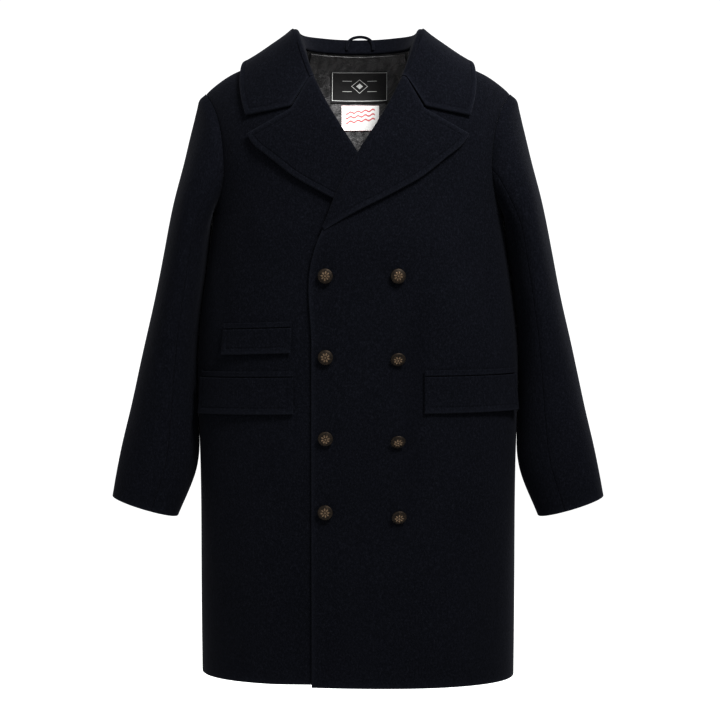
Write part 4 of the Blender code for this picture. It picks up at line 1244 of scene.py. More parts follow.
@dataclass(frozen=True)
class LapelMaker:
    """The two lapels: they turn over the roll line and lie on their own fronts."""
    shop: Workroom
    wool: Finish
    cloth: float = 4.5
    gap: float = 0.95
    lift: float = 2.0
    foot_z: float = -254.0
    gorge_z: float = -38.0
    foot: float = 2.2
    thin: float = 0.24
    run: float = 285.0
    step: float = 3.4
    cut: tuple = (0.15, 0.30, 0.0245)
    edge: tuple = ((-47, -257), (-20, -241), (52, -203), (90, -181), (124, -154), (150, -132), (158, -119))
    top: tuple = ((127, -101.5), (94, -83))

    def on_front(self, side: Side, xz: Grid, out: Number) -> tuple[Grid, Grid]:
        """A point `out` above the side's front, and the direction out of it.

        Args:
            side: of the front.
            xz: places on it.
            out: distance above it.

        Returns:
            The points and the directions.
        """
        angle = FORM.angle(xz[..., 0], xz[..., 1])
        away = FORM.away(angle, xz[..., 1])
        layer = FORM.front_layer(side, xz[..., 0] * side.value, xz[..., 1])
        return FORM.point(angle, xz[..., 1]) + away * (layer + out)[..., None], away

    def make(self) -> None:
        """Makes both lapels."""
        for side in Side:
            self.piece(side)

    def piece(self, side: Side) -> None:
        """A patch from the roll line to the outer edge whose last column bends at the notch.

        Args:
            side: of the lapel.
        """
        share = toward_notch(self.run, self.step, True)
        roll_z = self.foot_z + (self.gorge_z - 0.3 - self.foot_z) * share
        roll = np.stack([FORM.roll(roll_z), roll_z], axis=-1)
        edge = along(self.edge, share)
        across, place = turned_patch(roll, edge, np.vstack([self.top[::-1], edge[-1:]]), share, 4)
        seam, up = self.on_front(side, roll, np.zeros(len(share)))
        beside = unit(np.cross(up, np.gradient(seam, axis=0)))
        beside *= -np.sign(beside[:, :1])
        cloth = self.cloth * (self.thin + (1 - self.thin) * ease(share / 0.24))
        fold = (1.25 + cloth / 2)[:, None]
        low = np.full(len(share), -0.2)
        turned = turned_over(seam, beside, up, self.foot, low, pi / 2 * 0.8, fold, fold - 0.4)
        lying, _ = self.on_front(side, place, self.gap + cloth / 2 + self.lift * across**3 * ease(share / 0.3))
        middle = np.concatenate([turned, lying])
        away = sheet_normals(middle)
        away *= 1 if away[-20:, :, 1].mean() < 0 else -1
        radii, pinch = notched(middle, across, self.cloth, (Edge.LAST_COLUMN,))
        grids = shell_grids(middle, away, cloth, radii, 0.0, pinch * cloth / self.cloth)
        marks = {"worn": worn_edge(middle, [Edge.LAST_ROW, Edge.LAST_COLUMN]), "hollow": hollow_share(pinch, 1)}
        cut = Cut(*self.cut, "folded", ("front_" + side.word,))
        self.shop.sew("lapel_" + side.word, "wool", (self.wool,), grids, marks, cut, side)


@dataclass(frozen=True)
class CollarMaker:
    """Stand and fall in one piece, turned over at the fold."""
    shop: Workroom
    wool: Finish
    cloth: float = 5.0
    gap: float = 0.95
    lift: float = 2.0
    gorge_z: float = -38.0
    foot: float = 4.6
    stand: float = 20.0
    over_ridge: float = 2.2
    run: float = 300.0
    step: float = 3.2
    cut: Cut = Cut(0.64, 0.14, 0.070, "folded", ("back", "front_left", "front_right"))
    end: tuple = ((95, -95, -82), (128, -99, -83.5), (169, -91, -88))
    edge: tuple = ((172.5, -78, -70), (173, -58, -51), (171, -30, -28), (165, 4, -15), (150, 48, -29),
                   (115, 92, -46), (60, 111, -43), (0, 115, -40))

    def neck_line(self) -> tuple[Grid, Grid, Grid]:
        """The line that the collar turns over, from the centre back to the gorge, with its directions.

        Returns:
            Points, directions out of the body and directions past the line.
        """
        back = np.linspace(0, pi / 2, 8)
        x = FORM.neck[0] * np.sin(back) ** (2 / FORM.neck_power)
        behind = stack(x, FORM.neck_seam_y(x), FORM.neck_seam_z(x))
        z = np.linspace(FORM.neck[1], self.gorge_z + 0.3, 8)[1:]
        line = along(np.concatenate([behind, FORM.point(FORM.angle(FORM.roll(z), z), z)]), np.linspace(0, 1, 18))
        _, up = FORM.height_over(line)
        run = np.gradient(line, axis=0)
        run[0] = (1, 0, 0)
        beside = unit(np.cross(run, up))
        beside *= np.sign((beside * (np.array([0.0, 20.0, 0.0]) - line)).sum(axis=1, keepdims=True))
        return line, up, beside

    def make(self) -> None:
        """Makes the collar from its left half and that half's mirror image."""
        share = toward_notch(self.run, self.step, False)
        table = np.linspace(0, 1, 18)
        line, up, beside = (np.stack([smooth_curve(table, rows[:, k], share) for k in range(3)], axis=-1)
                            for rows in self.neck_line())
        up, beside = unit(up), unit(beside)
        edge = along(np.vstack([self.edge[::-1], self.end[-1:]]), share)
        height = self.stand * (1 - ease((share - 0.62) / 0.38)) - 0.2
        fall, place = turned_patch(line, edge, np.array(self.end), share, 6)
        stand_off = (height + 0.2) * (1 - fall) ** 1.4 + self.over_ridge * bell(place[..., 1], 34)
        lying = FORM.lifted(place, self.gap + self.cloth / 2 + stand_off + self.lift * fall**3)
        turned = turned_over(line, beside, up, self.foot, height, pi / 2 * 1.15)
        half = np.concatenate([turned, lying])
        middle = np.concatenate([flip(half[:, :0:-1], Side.RIGHT), half], axis=1)
        away = sheet_normals(middle)
        away *= 1 if away[-20:, 0, 1].mean() < 0 else -1
        radii, pinch = notched(middle, fall, self.cloth, BOTH_SIDES)
        grids = shell_grids(middle, away, self.cloth, radii, 0.0, pinch)
        marks = {"worn": worn_edge(middle, [Edge.LAST_ROW, *BOTH_SIDES]), "hollow": hollow_share(pinch, 1)}
        self.shop.sew("collar", "wool", (self.wool,), grids, marks, self.cut)


# ------------ pockets
class FlapSize(NamedTuple):
    """One pocket flap: its side, inner edge, length, top, slope, height and how far its corner curls."""
    name: str
    side: Side
    x_in: float
    arc: float
    top: float
    drop: float
    height: float
    curl: float


FLAPS = (
    FlapSize("pocket_flap_right", Side.RIGHT, 93.0, 160.0, -468.0, 4.0, 53.0, 5.0),
    FlapSize("pocket_flap_left", Side.LEFT, 95.0, 160.0, -467.0, 0.0, 53.0, 5.0),
    FlapSize("ticket_flap", Side.RIGHT, 95.5, 107.0, -396.5, 4.5, 36.5, 1.0),
)


def between(first: Sequence[float], length: float, step: float) -> Grid:
    """Fractions 0..1 from an edge's own rows to a stitched edge.

    Args:
        first: rows at the first edge, in millimetres from it.
        length: of the run.
        step: spacing between the edges.

    Returns:
        The rising fractions.
    """
    near, last = np.array(first), np.array(STITCHED_EDGE)
    rest = length - near[-1] - last[-1]
    inner = near[-1] + run_of_cloth(rest, step, False, False)[1:-1] * rest
    return np.concatenate([near, inner, length - last[::-1]]) / length


@dataclass(frozen=True)
class PocketMaker:
    """The flaps and the welts above them, bent to the fronts that carry them."""
    shop: Workroom
    wool: Finish
    flap_cloth: float = 3.6
    welt_cloth: float = 2.3
    welt_short: float = 1.1
    welt_height: float = 9.0
    gap: float = 0.95
    lift: float = 1.6

    def strip(self, flap: FlapSize, z_top: float, height: float, curl: float, share: Grid,
              down: Grid) -> tuple[Grid, Grid]:
        """Points on the flap's own front at shares along and down it, its outer corner standing off.

        Args:
            flap: its size.
            z_top, height, curl: of this strip.
            share, down: places along and down it.

        Returns:
            The points and the directions.
        """
        fine = np.linspace(FORM.angle(flap.x_in, flap.top), pi / 2, 400)
        angle = np.interp(share * flap.arc, run_length(FORM.point(fine, np.full(400, flap.top))), fine)
        z = z_top - flap.drop * share - height * down
        angle = np.broadcast_to(angle, z.shape)
        away, base = FORM.away(angle, z), FORM.point(angle, z)
        layer = FORM.front_layer(flap.side, base[..., 0] * flap.side.value, z)
        lift = self.lift if height > self.welt_height else 0.0
        out = layer + self.gap + curl * share**4 * (0.35 + 0.65 * down) + lift * down**3
        return base + away * out[..., None], away

    def make(self) -> None:
        """Makes every flap and welt."""
        for flap in FLAPS:
            share = between(STITCHED_EDGE, flap.arc, 3.2)
            down = between(PLAIN_EDGE, flap.height, 2.6)
            base, away = self.strip(flap, flap.top, flap.height, flap.curl, share[None, :], down[:, None])
            self.close(flap, flap.name, base, away, self.flap_cloth, stitched=True)
            share = run_of_cloth(flap.arc, 3.0)
            down = run_of_cloth(self.welt_height, 1.4)
            base, away = self.strip(flap, flap.top + self.welt_height, self.welt_height - self.welt_short, 0.0,
                                    share[None, :], down[:, None])
            self.close(flap, flap.name.replace("flap", "welt"), base, away, self.welt_cloth, stitched=False)

    def close(self, flap: FlapSize, name: str, base: Grid, away: Grid, cloth: float, stitched: bool) -> None:
        """Closes a strip whose under side lies on `base`, and dresses it.

        Args:
            flap: its size.
            name: of the piece.
            base, away: the under side and the direction out.
            cloth: its thickness.
            stitched: whether its edges are topstitched.
        """
        middle = base + away * cloth / 2
        free = nearest_edge(middle, (Edge.LAST_ROW, *BOTH_SIDES))
        pinch = stitch_line(free) * (0.8 if stitched else 0.0)
        grids = shell_grids(middle, away, cloth, {edge: cloth / 2 for edge in Edge}, 0.0, pinch)
        marks = {"worn": worn_edge(middle, [Edge.LAST_ROW]) * (1.0 if stitched else 0.4),
                 "hollow": hollow_share(pinch, 1)}
        height = flap.height if stitched else self.welt_height
        cut = Cut(flap.arc * MM, max(height * MM, 0.01), flap.arc * height * MM * MM, "laid",
                  ("front_" + flap.side.word,))
        self.shop.sew(name, "wool", (self.wool,), grids, marks, cut, flap.side)


# ------------ lining, labels, loop
LINING_SIDE, LINING_TOP, LINING_END = 172.0, 26.0, -262.0
LINING_CREASES = (
    # (x, z): the pleats that hang from the neck seam
    Crease((-66, -16), (-44, -150), 5, 5.0, 2.0, -0.6), Crease((-53, -10), (-34, -120), -4, 4.0, 1.6, 0.6),
    Crease((62, -14), (44, -128), -5, 5.5, 1.8, -0.5), Crease((72, -30), (56, -170), 5, 6.0, 1.7),
    Crease((8, -96), (2, -230), 2, 3.0, 1.9, -0.5), Crease((-36, -4), (30, -6), 1, 2.4, 0.8, 0.3),
    Crease((-24, -110), (-38, -210), 4, 7.0, 1.4), Crease((30, -104), (40, -200), -4, 6.0, 1.3, -0.4),
    Crease((-80, -40), (-64, -190), -5, 7.0, 1.5), Crease((52, -2), (66, -40), 2, 3.4, 1.2, 0.5),
    Crease((-60, -2), (-72, -40), -2, 3.6, 1.3, -0.5), Crease((18, -2), (24, -52), 2, 3.0, 0.7),
)


class LabelSize(NamedTuple):
    """A woven label: columns and rows of the lining that it covers."""
    name: str
    left: float
    right: float
    top: float
    low: float


LABELS = (LabelSize("label_dark", -43, 46, -7, -58), LabelSize("label_pale", -26, 33, -62, -101))


@dataclass(frozen=True)
class LiningMaker:
    """The lining of the upper back, seen through the neck, and the two labels sewn on it."""
    shop: Workroom
    satin: Finish
    labels: dict[str, Finish]
    cloth: float = 1.2
    depth: float = 5.8
    neck_x: float = 74.0
    label_cloth: float = 0.8
    label_gap: float = 0.45
    plain_x: float = 62.0
    cut: Cut = Cut(0.36, 0.29, 0.078, "hung", ("back",))

    def place(self, column: Grid, row: Grid) -> tuple[Grid, Grid]:
        """Place on the lining: outer columns close in to the neck seam's ends, and rows keep under it.

        Args:
            column, row: x and z before that.

        Returns:
            x and z of the places.
        """
        inner = np.clip(column, -self.plain_x, self.plain_x)
        beyond = column - inner
        spread = ease((FORM.neck[1] - row) / 150)
        narrow = beyond * (self.neck_x - self.plain_x) / (LINING_SIDE - self.plain_x)
        x = inner + narrow + (beyond - narrow) * spread
        return x, np.minimum(row, FORM.neck_seam_z(np.clip(x, -84, 84)) - 8 * ease((LINING_TOP - row) / 20))

    def inside(self, x: Grid, z: Grid, depth: Number) -> tuple[Grid, Grid]:
        """Point on the inner side of the back, `depth` in from its outer cloth, and the direction in.

        Args:
            x, z: places.
            depth: from the outer cloth.

        Returns:
            The points and the directions.
        """
        angle = FORM.angle(x, z, True)
        away = FORM.away(angle, z)
        return FORM.point(angle, z) - away * np.asarray(depth)[..., None], -away

    def make(self) -> None:
        """Makes the lining and both labels."""
        columns = np.linspace(-LINING_SIDE, LINING_SIDE, 150)[None, :]
        rows = np.concatenate([np.linspace(LINING_TOP, -30, 26)[:-1], np.linspace(-30, LINING_END, 80)])[:, None]
        x, z = self.place(*np.broadcast_arrays(columns, rows))
        base, away = self.inside(x, z, np.full(x.shape, self.depth + self.cloth / 2))
        under_label = ((1 - ease((np.abs(x - 1.5) - 42) / 9)) * ease((z + 104) / 6)) * 0.86
        calm = ease(edge_distance(base, Edge.FIRST_ROW) / 6) * (1 - under_label)
        push = -np.clip(-1.5 * creased(LINING_CREASES, x, z), -1.2, 3.2) * calm
        push = push + 0.55 * calm * unrest(x, z, 11, 3.3)
        grids = shell_grids(base, away, self.cloth, {edge: self.cloth / 2 for edge in Edge}, push)
        self.shop.sew("lining_back", "lining", (self.satin,), grids, {"hollow": hollow_share(push, 2)}, self.cut)
        for label in LABELS:
            self.label(label)

    def label(self, label: LabelSize) -> None:
        """A woven patch on the lining, its edges turned under and a little drawn by the stitches.

        Args:
            label: its place.
        """
        width, height = label.right - label.left, label.top - label.low
        columns = (label.left + width * run_of_cloth(width, 1.5))[None, :]
        rows = (label.top - height * run_of_cloth(height, 1.5))[:, None]
        x, z = self.place(*np.broadcast_arrays(columns, rows))
        depth = self.depth + self.cloth + self.label_gap + self.label_cloth / 2
        base, away = self.inside(x, z, np.full(x.shape, depth))
        lift = -0.35 * unrest(x, z, 15, 0.7 + width) * ease(nearest_edge(base, tuple(Edge)) / 5)
        grids = shell_grids(base, away, self.label_cloth, {edge: self.label_cloth / 2 for edge in Edge}, lift)
        cut = Cut(width * MM, height * MM, width * height * MM * MM, "laid", ("lining_back",))
        self.shop.sew(label.name, label.name, (self.labels[label.name],), grids, {}, cut)


@dataclass(frozen=True)
class LoopMaker:
    """The hanger loop: a narrow sewn tube, both ends held in the neck seam."""
    shop: Workroom
    tape: Finish
    collar: CollarMaker
    radius: float = 2.0
    half_span: float = 20.0
    rise: float = 28.0
    centre_x: float = 3.0
    clear: float = 4.8
    sink: float = 2.0
    bow: float = 1.6
    flatness: tuple[float, float] = (0.82, 1.05)

    def make(self) -> None:
        """A tube along an arch: circle of `radius` round each of its points, flattened by its seam."""
        turn = np.linspace(0, pi, 61)
        x = self.centre_x - self.half_span * np.cos(turn)
        _, up, beside = (rows[0] for rows in self.collar.neck_line())
        foot = np.array([0.0, FORM.neck_back_y, FORM.neck_seam_z(np.array(0.0))])
        foot = foot + beside * (self.clear + self.collar.cloth / 2 + self.radius) - up * self.sink
        lie = foot + up * (self.rise * np.sin(turn)[:, None] ** 0.6)
        bow = self.bow * ((x / self.half_span) ** 2 - 0.5)
        path = stack(x, lie[:, 1] - bow, lie[:, 2])
        path = along(path[[0, 3, 7, 12, 18, 24, 30, 36, 42, 48, 53, 57, 60]], np.linspace(0, 1, 70))
        run = unit(np.gradient(path, axis=0))
        flat = unit(np.cross(run, unit(np.cross(np.broadcast_to([0.0, 1.0, 0.0], run.shape), run))))
        broad = np.cross(run, flat)
        round_turn = np.linspace(0, 2 * pi, 20, endpoint=False)
        swell = self.radius * (1 - 0.10 * bell(round_turn - pi, 0.35))
        rings = (path[:, None] + flat[:, None] * (np.cos(round_turn) * swell * self.flatness[0])[None, :, None]
                 + broad[:, None] * (np.sin(round_turn) * swell * self.flatness[1])[None, :, None])
        points, faces = closed_rings(rings, rings[0].mean(axis=0), rings[-1].mean(axis=0))
        count, around = rings.shape[:2]
        plan = np.stack([np.repeat(np.arange(count) / count, around), np.tile(np.arange(around) / around, count)],
                        axis=-1)
        mesh = self.shop.mesh("hanger_loop", points, faces, np.concatenate([plan, [[0.0, 0.0], [1.0, 0.0]]]))
        self.shop.finished("hanger_loop", mesh, (self.tape,), "loop_tape")


def closed_rings(rings: Grid, first: Grid, last: Grid) -> tuple[Grid, Grid]:
    """A closed surface of triangles through rings of points, each end closed by one point.

    Args:
        rings: points, ring by ring.
        first: the point that closes the first ring.
        last: the point that closes the last one.

    Returns:
        The points, with the two ends last, and the faces, pointing outwards.
    """
    index = np.arange(rings.shape[0] * rings.shape[1]).reshape(rings.shape[:2])
    following = np.roll(index, -1, axis=1)
    start = np.full(rings.shape[1], index.size)
    a, b, c, d = index[:-1], following[:-1], following[1:], index[1:]
    corners = ((a, b, c), (a, c, d), (start, following[0], index[0]), (start + 1, index[-1], following[-1]))
    faces = np.concatenate([np.stack(three, axis=-1).reshape(-1, 3) for three in corners])
    points = np.concatenate([rings.reshape(-1, 3), first[None], last[None]])
    return points, outwards(points, faces)


# ------------ buttons
class ButtonPlace(NamedTuple):
    """Where a button is sewn and by how many degrees it droops."""
    x: float
    z: float
    droop: float


BUTTONS = (
    ButtonPlace(-46, -322, 4), ButtonPlace(-46, -438, 6), ButtonPlace(-46, -554, 14), ButtonPlace(-46.5, -661, 5),
    ButtonPlace(57, -322, 6), ButtonPlace(57, -439, 30), ButtonPlace(57, -557, 34), ButtonPlace(58.5, -666, 28),
)


def set_out(away: Grid) -> Grid:
    """The rotation that takes +Z to a direction: I + s K + (1 - c) K^2, with K the axis as a cross product.

    Args:
        away: the unit direction.

    Returns:
        The 3 x 3 matrix.
    """
    axis = np.cross([0.0, 0.0, 1.0], away)
    s, c = np.linalg.norm(axis), away[2]
    k = axis / s
    cross = np.array([[0, -k[2], k[1]], [k[2], 0, -k[0]], [-k[1], k[0], 0]])
    return np.eye(3) + s * cross + (1 - c) * cross @ cross


@dataclass(frozen=True)
class ButtonMaker:
    """Eight domed metal shank buttons with a roped rim and a plain rosette."""
    shop: Workroom
    metal: Finish
    radius: float = 11.0
    around: int = 72
    petals: int = 8
    ropes: int = 32
    dome_rings: int = 20
    boss: float = 0.38
    spin: float = 0.6
    rim_and_back: tuple = ((10.85, 5.95), (11.0, 5.5), (11.0, 5.1), (10.8, 4.55), (10.3, 4.05), (8.0, 3.85),
                           (5.0, 3.75), (3.4, 3.6), (2.9, 2.9), (2.6, 1.6), (2.6, 0.3), (2.0, 0.0), (0.0, 0.0))
    corners: tuple = ((0, 8.6), (11, 5.0), (10.34, 4.0), (3.4, 3.6), (2.6, 1.6), (2.6, 0.0), (0.0, 0.0))

    def profile(self) -> Grid:
        """Half outline (r, h), from the dome's top over the rim and the back to the shank's foot."""
        turn = np.linspace(0.0, 1.3, self.dome_rings)
        dome = np.stack([self.radius * np.sin(turn), 5.6 + 3.0 * np.cos(turn)], axis=-1)
        return np.concatenate([dome, self.rim_and_back])

    def relief(self, r: Grid, turn: Grid) -> Grid:
        """Raised work on the dome: a rim bead roped by slanting cuts, a ring, and petals round a boss.

        Args:
            r: distances from the middle.
            turn: directions round it.

        Returns:
            How far the face stands up at each of them.
        """
        share = r / self.radius
        rope = 0.26 * bell(share - 0.93, 0.045) * (0.72 + 0.28 * np.sin(self.ropes * turn + 14 * share))
        ring = 0.16 * bell(share - 0.78, 0.028)
        petal = np.abs(np.cos(self.petals * turn / 2)) ** 0.7
        flower = 0.34 * petal * ease((share - 0.17) / 0.10) * ease((0.66 * (0.55 + 0.45 * petal) - share) / 0.10)
        boss = self.boss * np.sqrt(np.clip(1 - (share / 0.16) ** 2, 0, 1))
        return rope + ring + flower + boss

    def make(self) -> None:
        """Makes every button in its own place: profile turned round, set on its front and tipped down."""
        profile = self.profile()
        turn = np.linspace(0, 2 * pi, self.around, endpoint=False)[None, :]
        r, h = profile[:, :1], profile[:, 1:]
        raised = self.relief(r, turn) * (np.arange(len(profile)) < self.dome_rings)[:, None]
        marks = {"raised": raised / self.boss, "rim": r / self.radius * np.ones_like(turn)}
        marks = {key: np.concatenate([rings[1:-1].ravel(), [end, 0.0]])
                 for (key, rings), end in zip(marks.items(), (1.0, 0.0))}
        for number, button in enumerate(BUTTONS, start=1):
            x, z = np.array([button.x, button.z], float)
            angle, tilt = FORM.angle(x, z), radians(button.droop)
            away = FORM.away(angle, z)
            clear = -min(b * cos(tilt) - a * sin(tilt) for a, b in self.corners)
            seat = FORM.point(angle, z) + away * (FORM.front_layer(Side.LEFT, x, z) + clear)
            spin = turn + self.spin * number
            local = stack(r * np.cos(spin), r * np.sin(spin), h + raised)
            tip = np.array([[1, 0, 0], [0, cos(tilt), -sin(tilt)], [0, sin(tilt), cos(tilt)]])
            rings = local @ (tip @ set_out(away)).T + seat
            points, faces = closed_rings(rings[1:-1], rings[0].mean(axis=0), rings[-1].mean(axis=0))
            name = "button_%d" % number
            mesh = self.shop.mesh(name, points, faces, None, marks)
            self.shop.finished(name, mesh, (self.metal,), "button_metal")


# ------------ finishes
Link = Union[float, "Signal", Socket]


class Signal:
    """A number in a material's nodes: its operators add Math nodes."""

    def __init__(self, bench: "Bench", socket: Socket) -> None:
        """Keeps the bench it belongs to and the socket it comes from."""
        self.bench, self.socket = bench, socket

    def math(self, operation: str, *others: Link) -> "Signal":
        """A Math node on this number and others."""
        return self.bench.math(operation, self, *others)

    def __add__(self, other: Link) -> "Signal":
        """self + other."""
        return self.math("ADD", other)

    def __sub__(self, other: Link) -> "Signal":
        """self - other."""
        return self.math("SUBTRACT", other)

    def __rsub__(self, other: Link) -> "Signal":
        """other - self."""
        return self.bench.math("SUBTRACT", other, self)

    def __mul__(self, other: Link) -> "Signal":
        """self times other."""
        return self.math("MULTIPLY", other)

    __radd__, __rmul__ = __add__, __mul__

    def within(self, low: float, high: float) -> "Signal":
        """0 below low and 1 above high, smooth between.

        Args:
            low, high: where it starts and ends.

        Returns:
            The step.
        """
        node = self.bench.node("ShaderNodeMapRange", {"interpolation_type": "SMOOTHSTEP"},
                               {"Value": self, "From Min": low, "From Max": high})
        return Signal(self.bench, node.outputs["Result"])


class Bench:
    """One material under construction."""

    def __init__(self, name: str, **shader: Union[float, tuple]) -> None:
        """Starts a material of a name, its shader's sockets set to the values given."""
        self.material = bpy.data.materials.new(name)
        self.material.use_nodes = True
        self.tree = self.material.node_tree
        self.shader = self.tree.nodes["Principled BSDF"]
        for key, value in shader.items():
            self.shader.inputs[key.replace("_", " ")].default_value = value

    def node(self, kind: str, settings: dict, sockets: dict) -> bpy.types.Node:
        """A node of a type, its settings set first and then its sockets' values or links.

        Args:
            kind: type of the node.
            settings, sockets: values by name.

        Returns:
            The node.
        """
        made = self.tree.nodes.new(kind)
        for key, value in settings.items():
            setattr(made, key, value)
        for key, value in sockets.items():
            self.put(made.inputs[key], value)
        return made

    def math(self, operation: str, *values: Link) -> Signal:
        """A Math node on the values given."""
        node = self.node("ShaderNodeMath", {"operation": operation}, dict(enumerate(values)))
        return Signal(self, node.outputs[0])

    def put(self, socket: Socket, value: Union[Link, tuple]) -> None:
        """Links a signal or a socket to a socket, or sets its value.

        Args:
            socket: to set.
            value: what it takes.
        """
        if isinstance(value, Signal):
            value = value.socket
        if isinstance(value, Socket):
            self.tree.links.new(value, socket)
        else:
            socket.default_value = value

    def mapped(self, where: Socket, scale: tuple, turn: tuple) -> Socket:
        """Coordinates, turned and scaled."""
        sockets = {"Vector": where, "Rotation": turn, "Scale": scale}
        return self.node("ShaderNodeMapping", {}, sockets).outputs["Vector"]

    def place(self, scale: tuple, turn: tuple = (0, 0, 0)) -> Socket:
        """Object coordinates, turned and scaled."""
        return self.mapped(self.node("ShaderNodeTexCoord", {}, {}).outputs["Object"], scale, turn)

    def plan(self) -> Socket:
        """The piece's own plan (UV), in decimetres."""
        return self.node("ShaderNodeUVMap", {"uv_map": "cloth"}, {}).outputs["UV"]

    def cloth_plan(self, scale: tuple, turn: float = 0.0) -> Socket:
        """The piece's own plan, turned and scaled."""
        return self.mapped(self.plan(), scale, (0.0, 0.0, turn))

    def noise(self, where: Socket, scale: float, detail: float = 2.0, roughness: float = 0.5) -> Signal:
        """Noise at a scale, within 0..1.

        Args:
            where: coordinates.
            scale, detail, roughness: of the noise.

        Returns:
            The noise.
        """
        node = self.node("ShaderNodeTexNoise", {}, {"Vector": where, "Scale": scale, "Detail": detail,
                                                    "Roughness": roughness})
        return Signal(self, node.outputs["Fac"])

    def wave(self, where: Socket, scale: float, direction: str = "X") -> Signal:
        """Sine bands along a direction, within 0..1.

        Args:
            where: coordinates.
            scale: of the bands.
            direction: X or Y.

        Returns:
            The bands.
        """
        node = self.node("ShaderNodeTexWave", {"bands_direction": direction},
                         {"Vector": where, "Scale": scale, "Distortion": 0.0, "Detail": 1.0})
        return Signal(self, node.outputs["Fac"])

    def mark(self, name: str) -> Signal:
        """A number kept at the piece's points."""
        node = self.node("ShaderNodeAttribute", {"attribute_name": name}, {})
        return Signal(self, node.outputs["Fac"])

    def blend(self, share: Link, first: Union[tuple, Socket], second: Union[tuple, Socket]) -> Socket:
        """A colour between two, by a share.

        Args:
            share: of the second one.
            first, second: the colours.

        Returns:
            The blended colour.
        """
        node = self.node("ShaderNodeMix", {"data_type": "RGBA"}, {"Factor": share})
        for key, colour in (("A", first), ("B", second)):
            socket = [s for s in node.inputs if s.name == key and s.type == "RGBA"][0]
            self.put(socket, (*colour, 1.0) if isinstance(colour, tuple) else colour)
        return [s for s in node.outputs if s.type == "RGBA"][0]

    def bump(self, height: Signal, distance: float, strength: float = 1.0,
             under: Optional[Socket] = None) -> Socket:
        """A bump in metres, on another one where it is given.

        Args:
            height: the relief.
            distance, strength: how deep it is.
            under: another bump.

        Returns:
            The normal.
        """
        sockets = {"Height": height, "Distance": distance, "Strength": strength}
        if under is not None:
            sockets["Normal"] = under
        return self.node("ShaderNodeBump", {}, sockets).outputs["Normal"]

    def wear(self, **shader: Union[Link, tuple]) -> Finish:
        """Puts signals on the shader and returns the material."""
        for key, value in shader.items():
            self.put(self.shader.inputs[key.replace("_", " ")], value)
        return self.material


@dataclass(frozen=True)
class Melton:
    """Brushed navy melton: matted fibres that lie down the cloth, a soft nap that lightens its edges."""
    name: str = "navy_melton"
    deep: tuple = (0.0010, 0.0013, 0.0024)
    plain: tuple = (0.0032, 0.0036, 0.0058)
    pale: tuple = (0.0092, 0.0104, 0.0150)
    sheen: float = 0.02

    def make(self) -> Finish:
        """Colour from two fibre noises and the worn edge, with painted shade in folds, seams and stitch grooves;
        bump from fibres, matting and pilling.

        Returns:
            The material.
        """
        bench = Bench(self.name, Roughness=0.95, Sheen_Weight=self.sheen, Sheen_Roughness=0.45,
                      Sheen_Tint=(0.55, 0.58, 0.72, 1.0), Specular_IOR_Level=0.03)
        down = bench.place((1400, 1400, 420), (0.16, 0.0, 0.22))
        crossed = bench.place((620, 900, 1500), (0.0, 0.3, -0.5))
        fibres, strays = bench.noise(down, 1.0, 3.0, 0.6), bench.noise(crossed, 1.0, 2.0, 0.55)
        matting = bench.noise(bench.place((190, 190, 130)), 1.0, 2.0)
        nap = bench.noise(bench.place((420, 420, 300)), 1.0, 2.0, 0.6)
        cloud = bench.noise(bench.place((9, 9, 6)), 1.0, 2.0)
        light = strays.within(0.58, 0.74) * 0.55 + fibres.within(0.56, 0.78) * 0.35 + nap.within(0.58, 0.74) * 0.3
        ground = fibres.within(0.36, 0.60) * 0.3 + nap.within(0.40, 0.60) * 0.55 + cloud.within(0.3, 0.7) * 0.15
        colour = bench.blend(ground, self.deep, self.plain)
        # lighter on the worn edges; darkened by painted shade where the cloth lies deep in folds, seams and
        # stitch grooves
        colour = bench.blend(light + bench.mark("worn") * 0.42 - bench.mark("hollow") * 0.2, colour, self.pale)
        height = fibres * 0.5 + strays * 0.5
        relief = bench.bump(matting * 0.6 + nap * 0.4, 0.0010, 0.6)
        return bench.wear(Base_Color=colour, Roughness=0.86 + fibres * 0.12,
                          Normal=bench.bump(height, 0.00028, 0.7, relief))


@dataclass(frozen=True)
class Satin:
    """Dark grey lining: a fine twill whose threads catch the light along the folds."""
    name: str = "grey_satin"
    deep: tuple = (0.022, 0.022, 0.0235)
    pale: tuple = (0.106, 0.105, 0.108)

    def make(self) -> Finish:
        """Colour and roughness from twill lines and crush marks, with painted shade in the folds' hollows.

        Returns:
            The material.
        """
        bench = Bench(self.name, Roughness=0.42, Specular_IOR_Level=0.5, Sheen_Weight=0.05)
        plan = bench.cloth_plan((1, 1, 1))
        twill = bench.wave(bench.cloth_plan((150, 150, 1), 0.78), 1.0)
        crush = bench.noise(bench.cloth_plan((9, 4.5, 1), 0.3), 1.0, 3.0, 0.6)
        slub = bench.noise(bench.cloth_plan((4, 90, 1)), 1.0, 1.0)
        # painted shade: the lining is darkened where it lies deep in its folds
        share = crush.within(0.38, 0.62) * 0.52 + slub * 0.25 + twill * 0.12 - bench.mark("hollow") * 0.5
        colour = bench.blend(share, self.deep, self.pale)
        folds = bench.bump(crush + bench.noise(plan, 26.0, 3.0) * 0.35, 0.0032, 1.0)
        return bench.wear(Base_Color=colour, Roughness=0.36 + crush * 0.22,
                          Normal=bench.bump(twill, 0.00005, 0.5, folds))


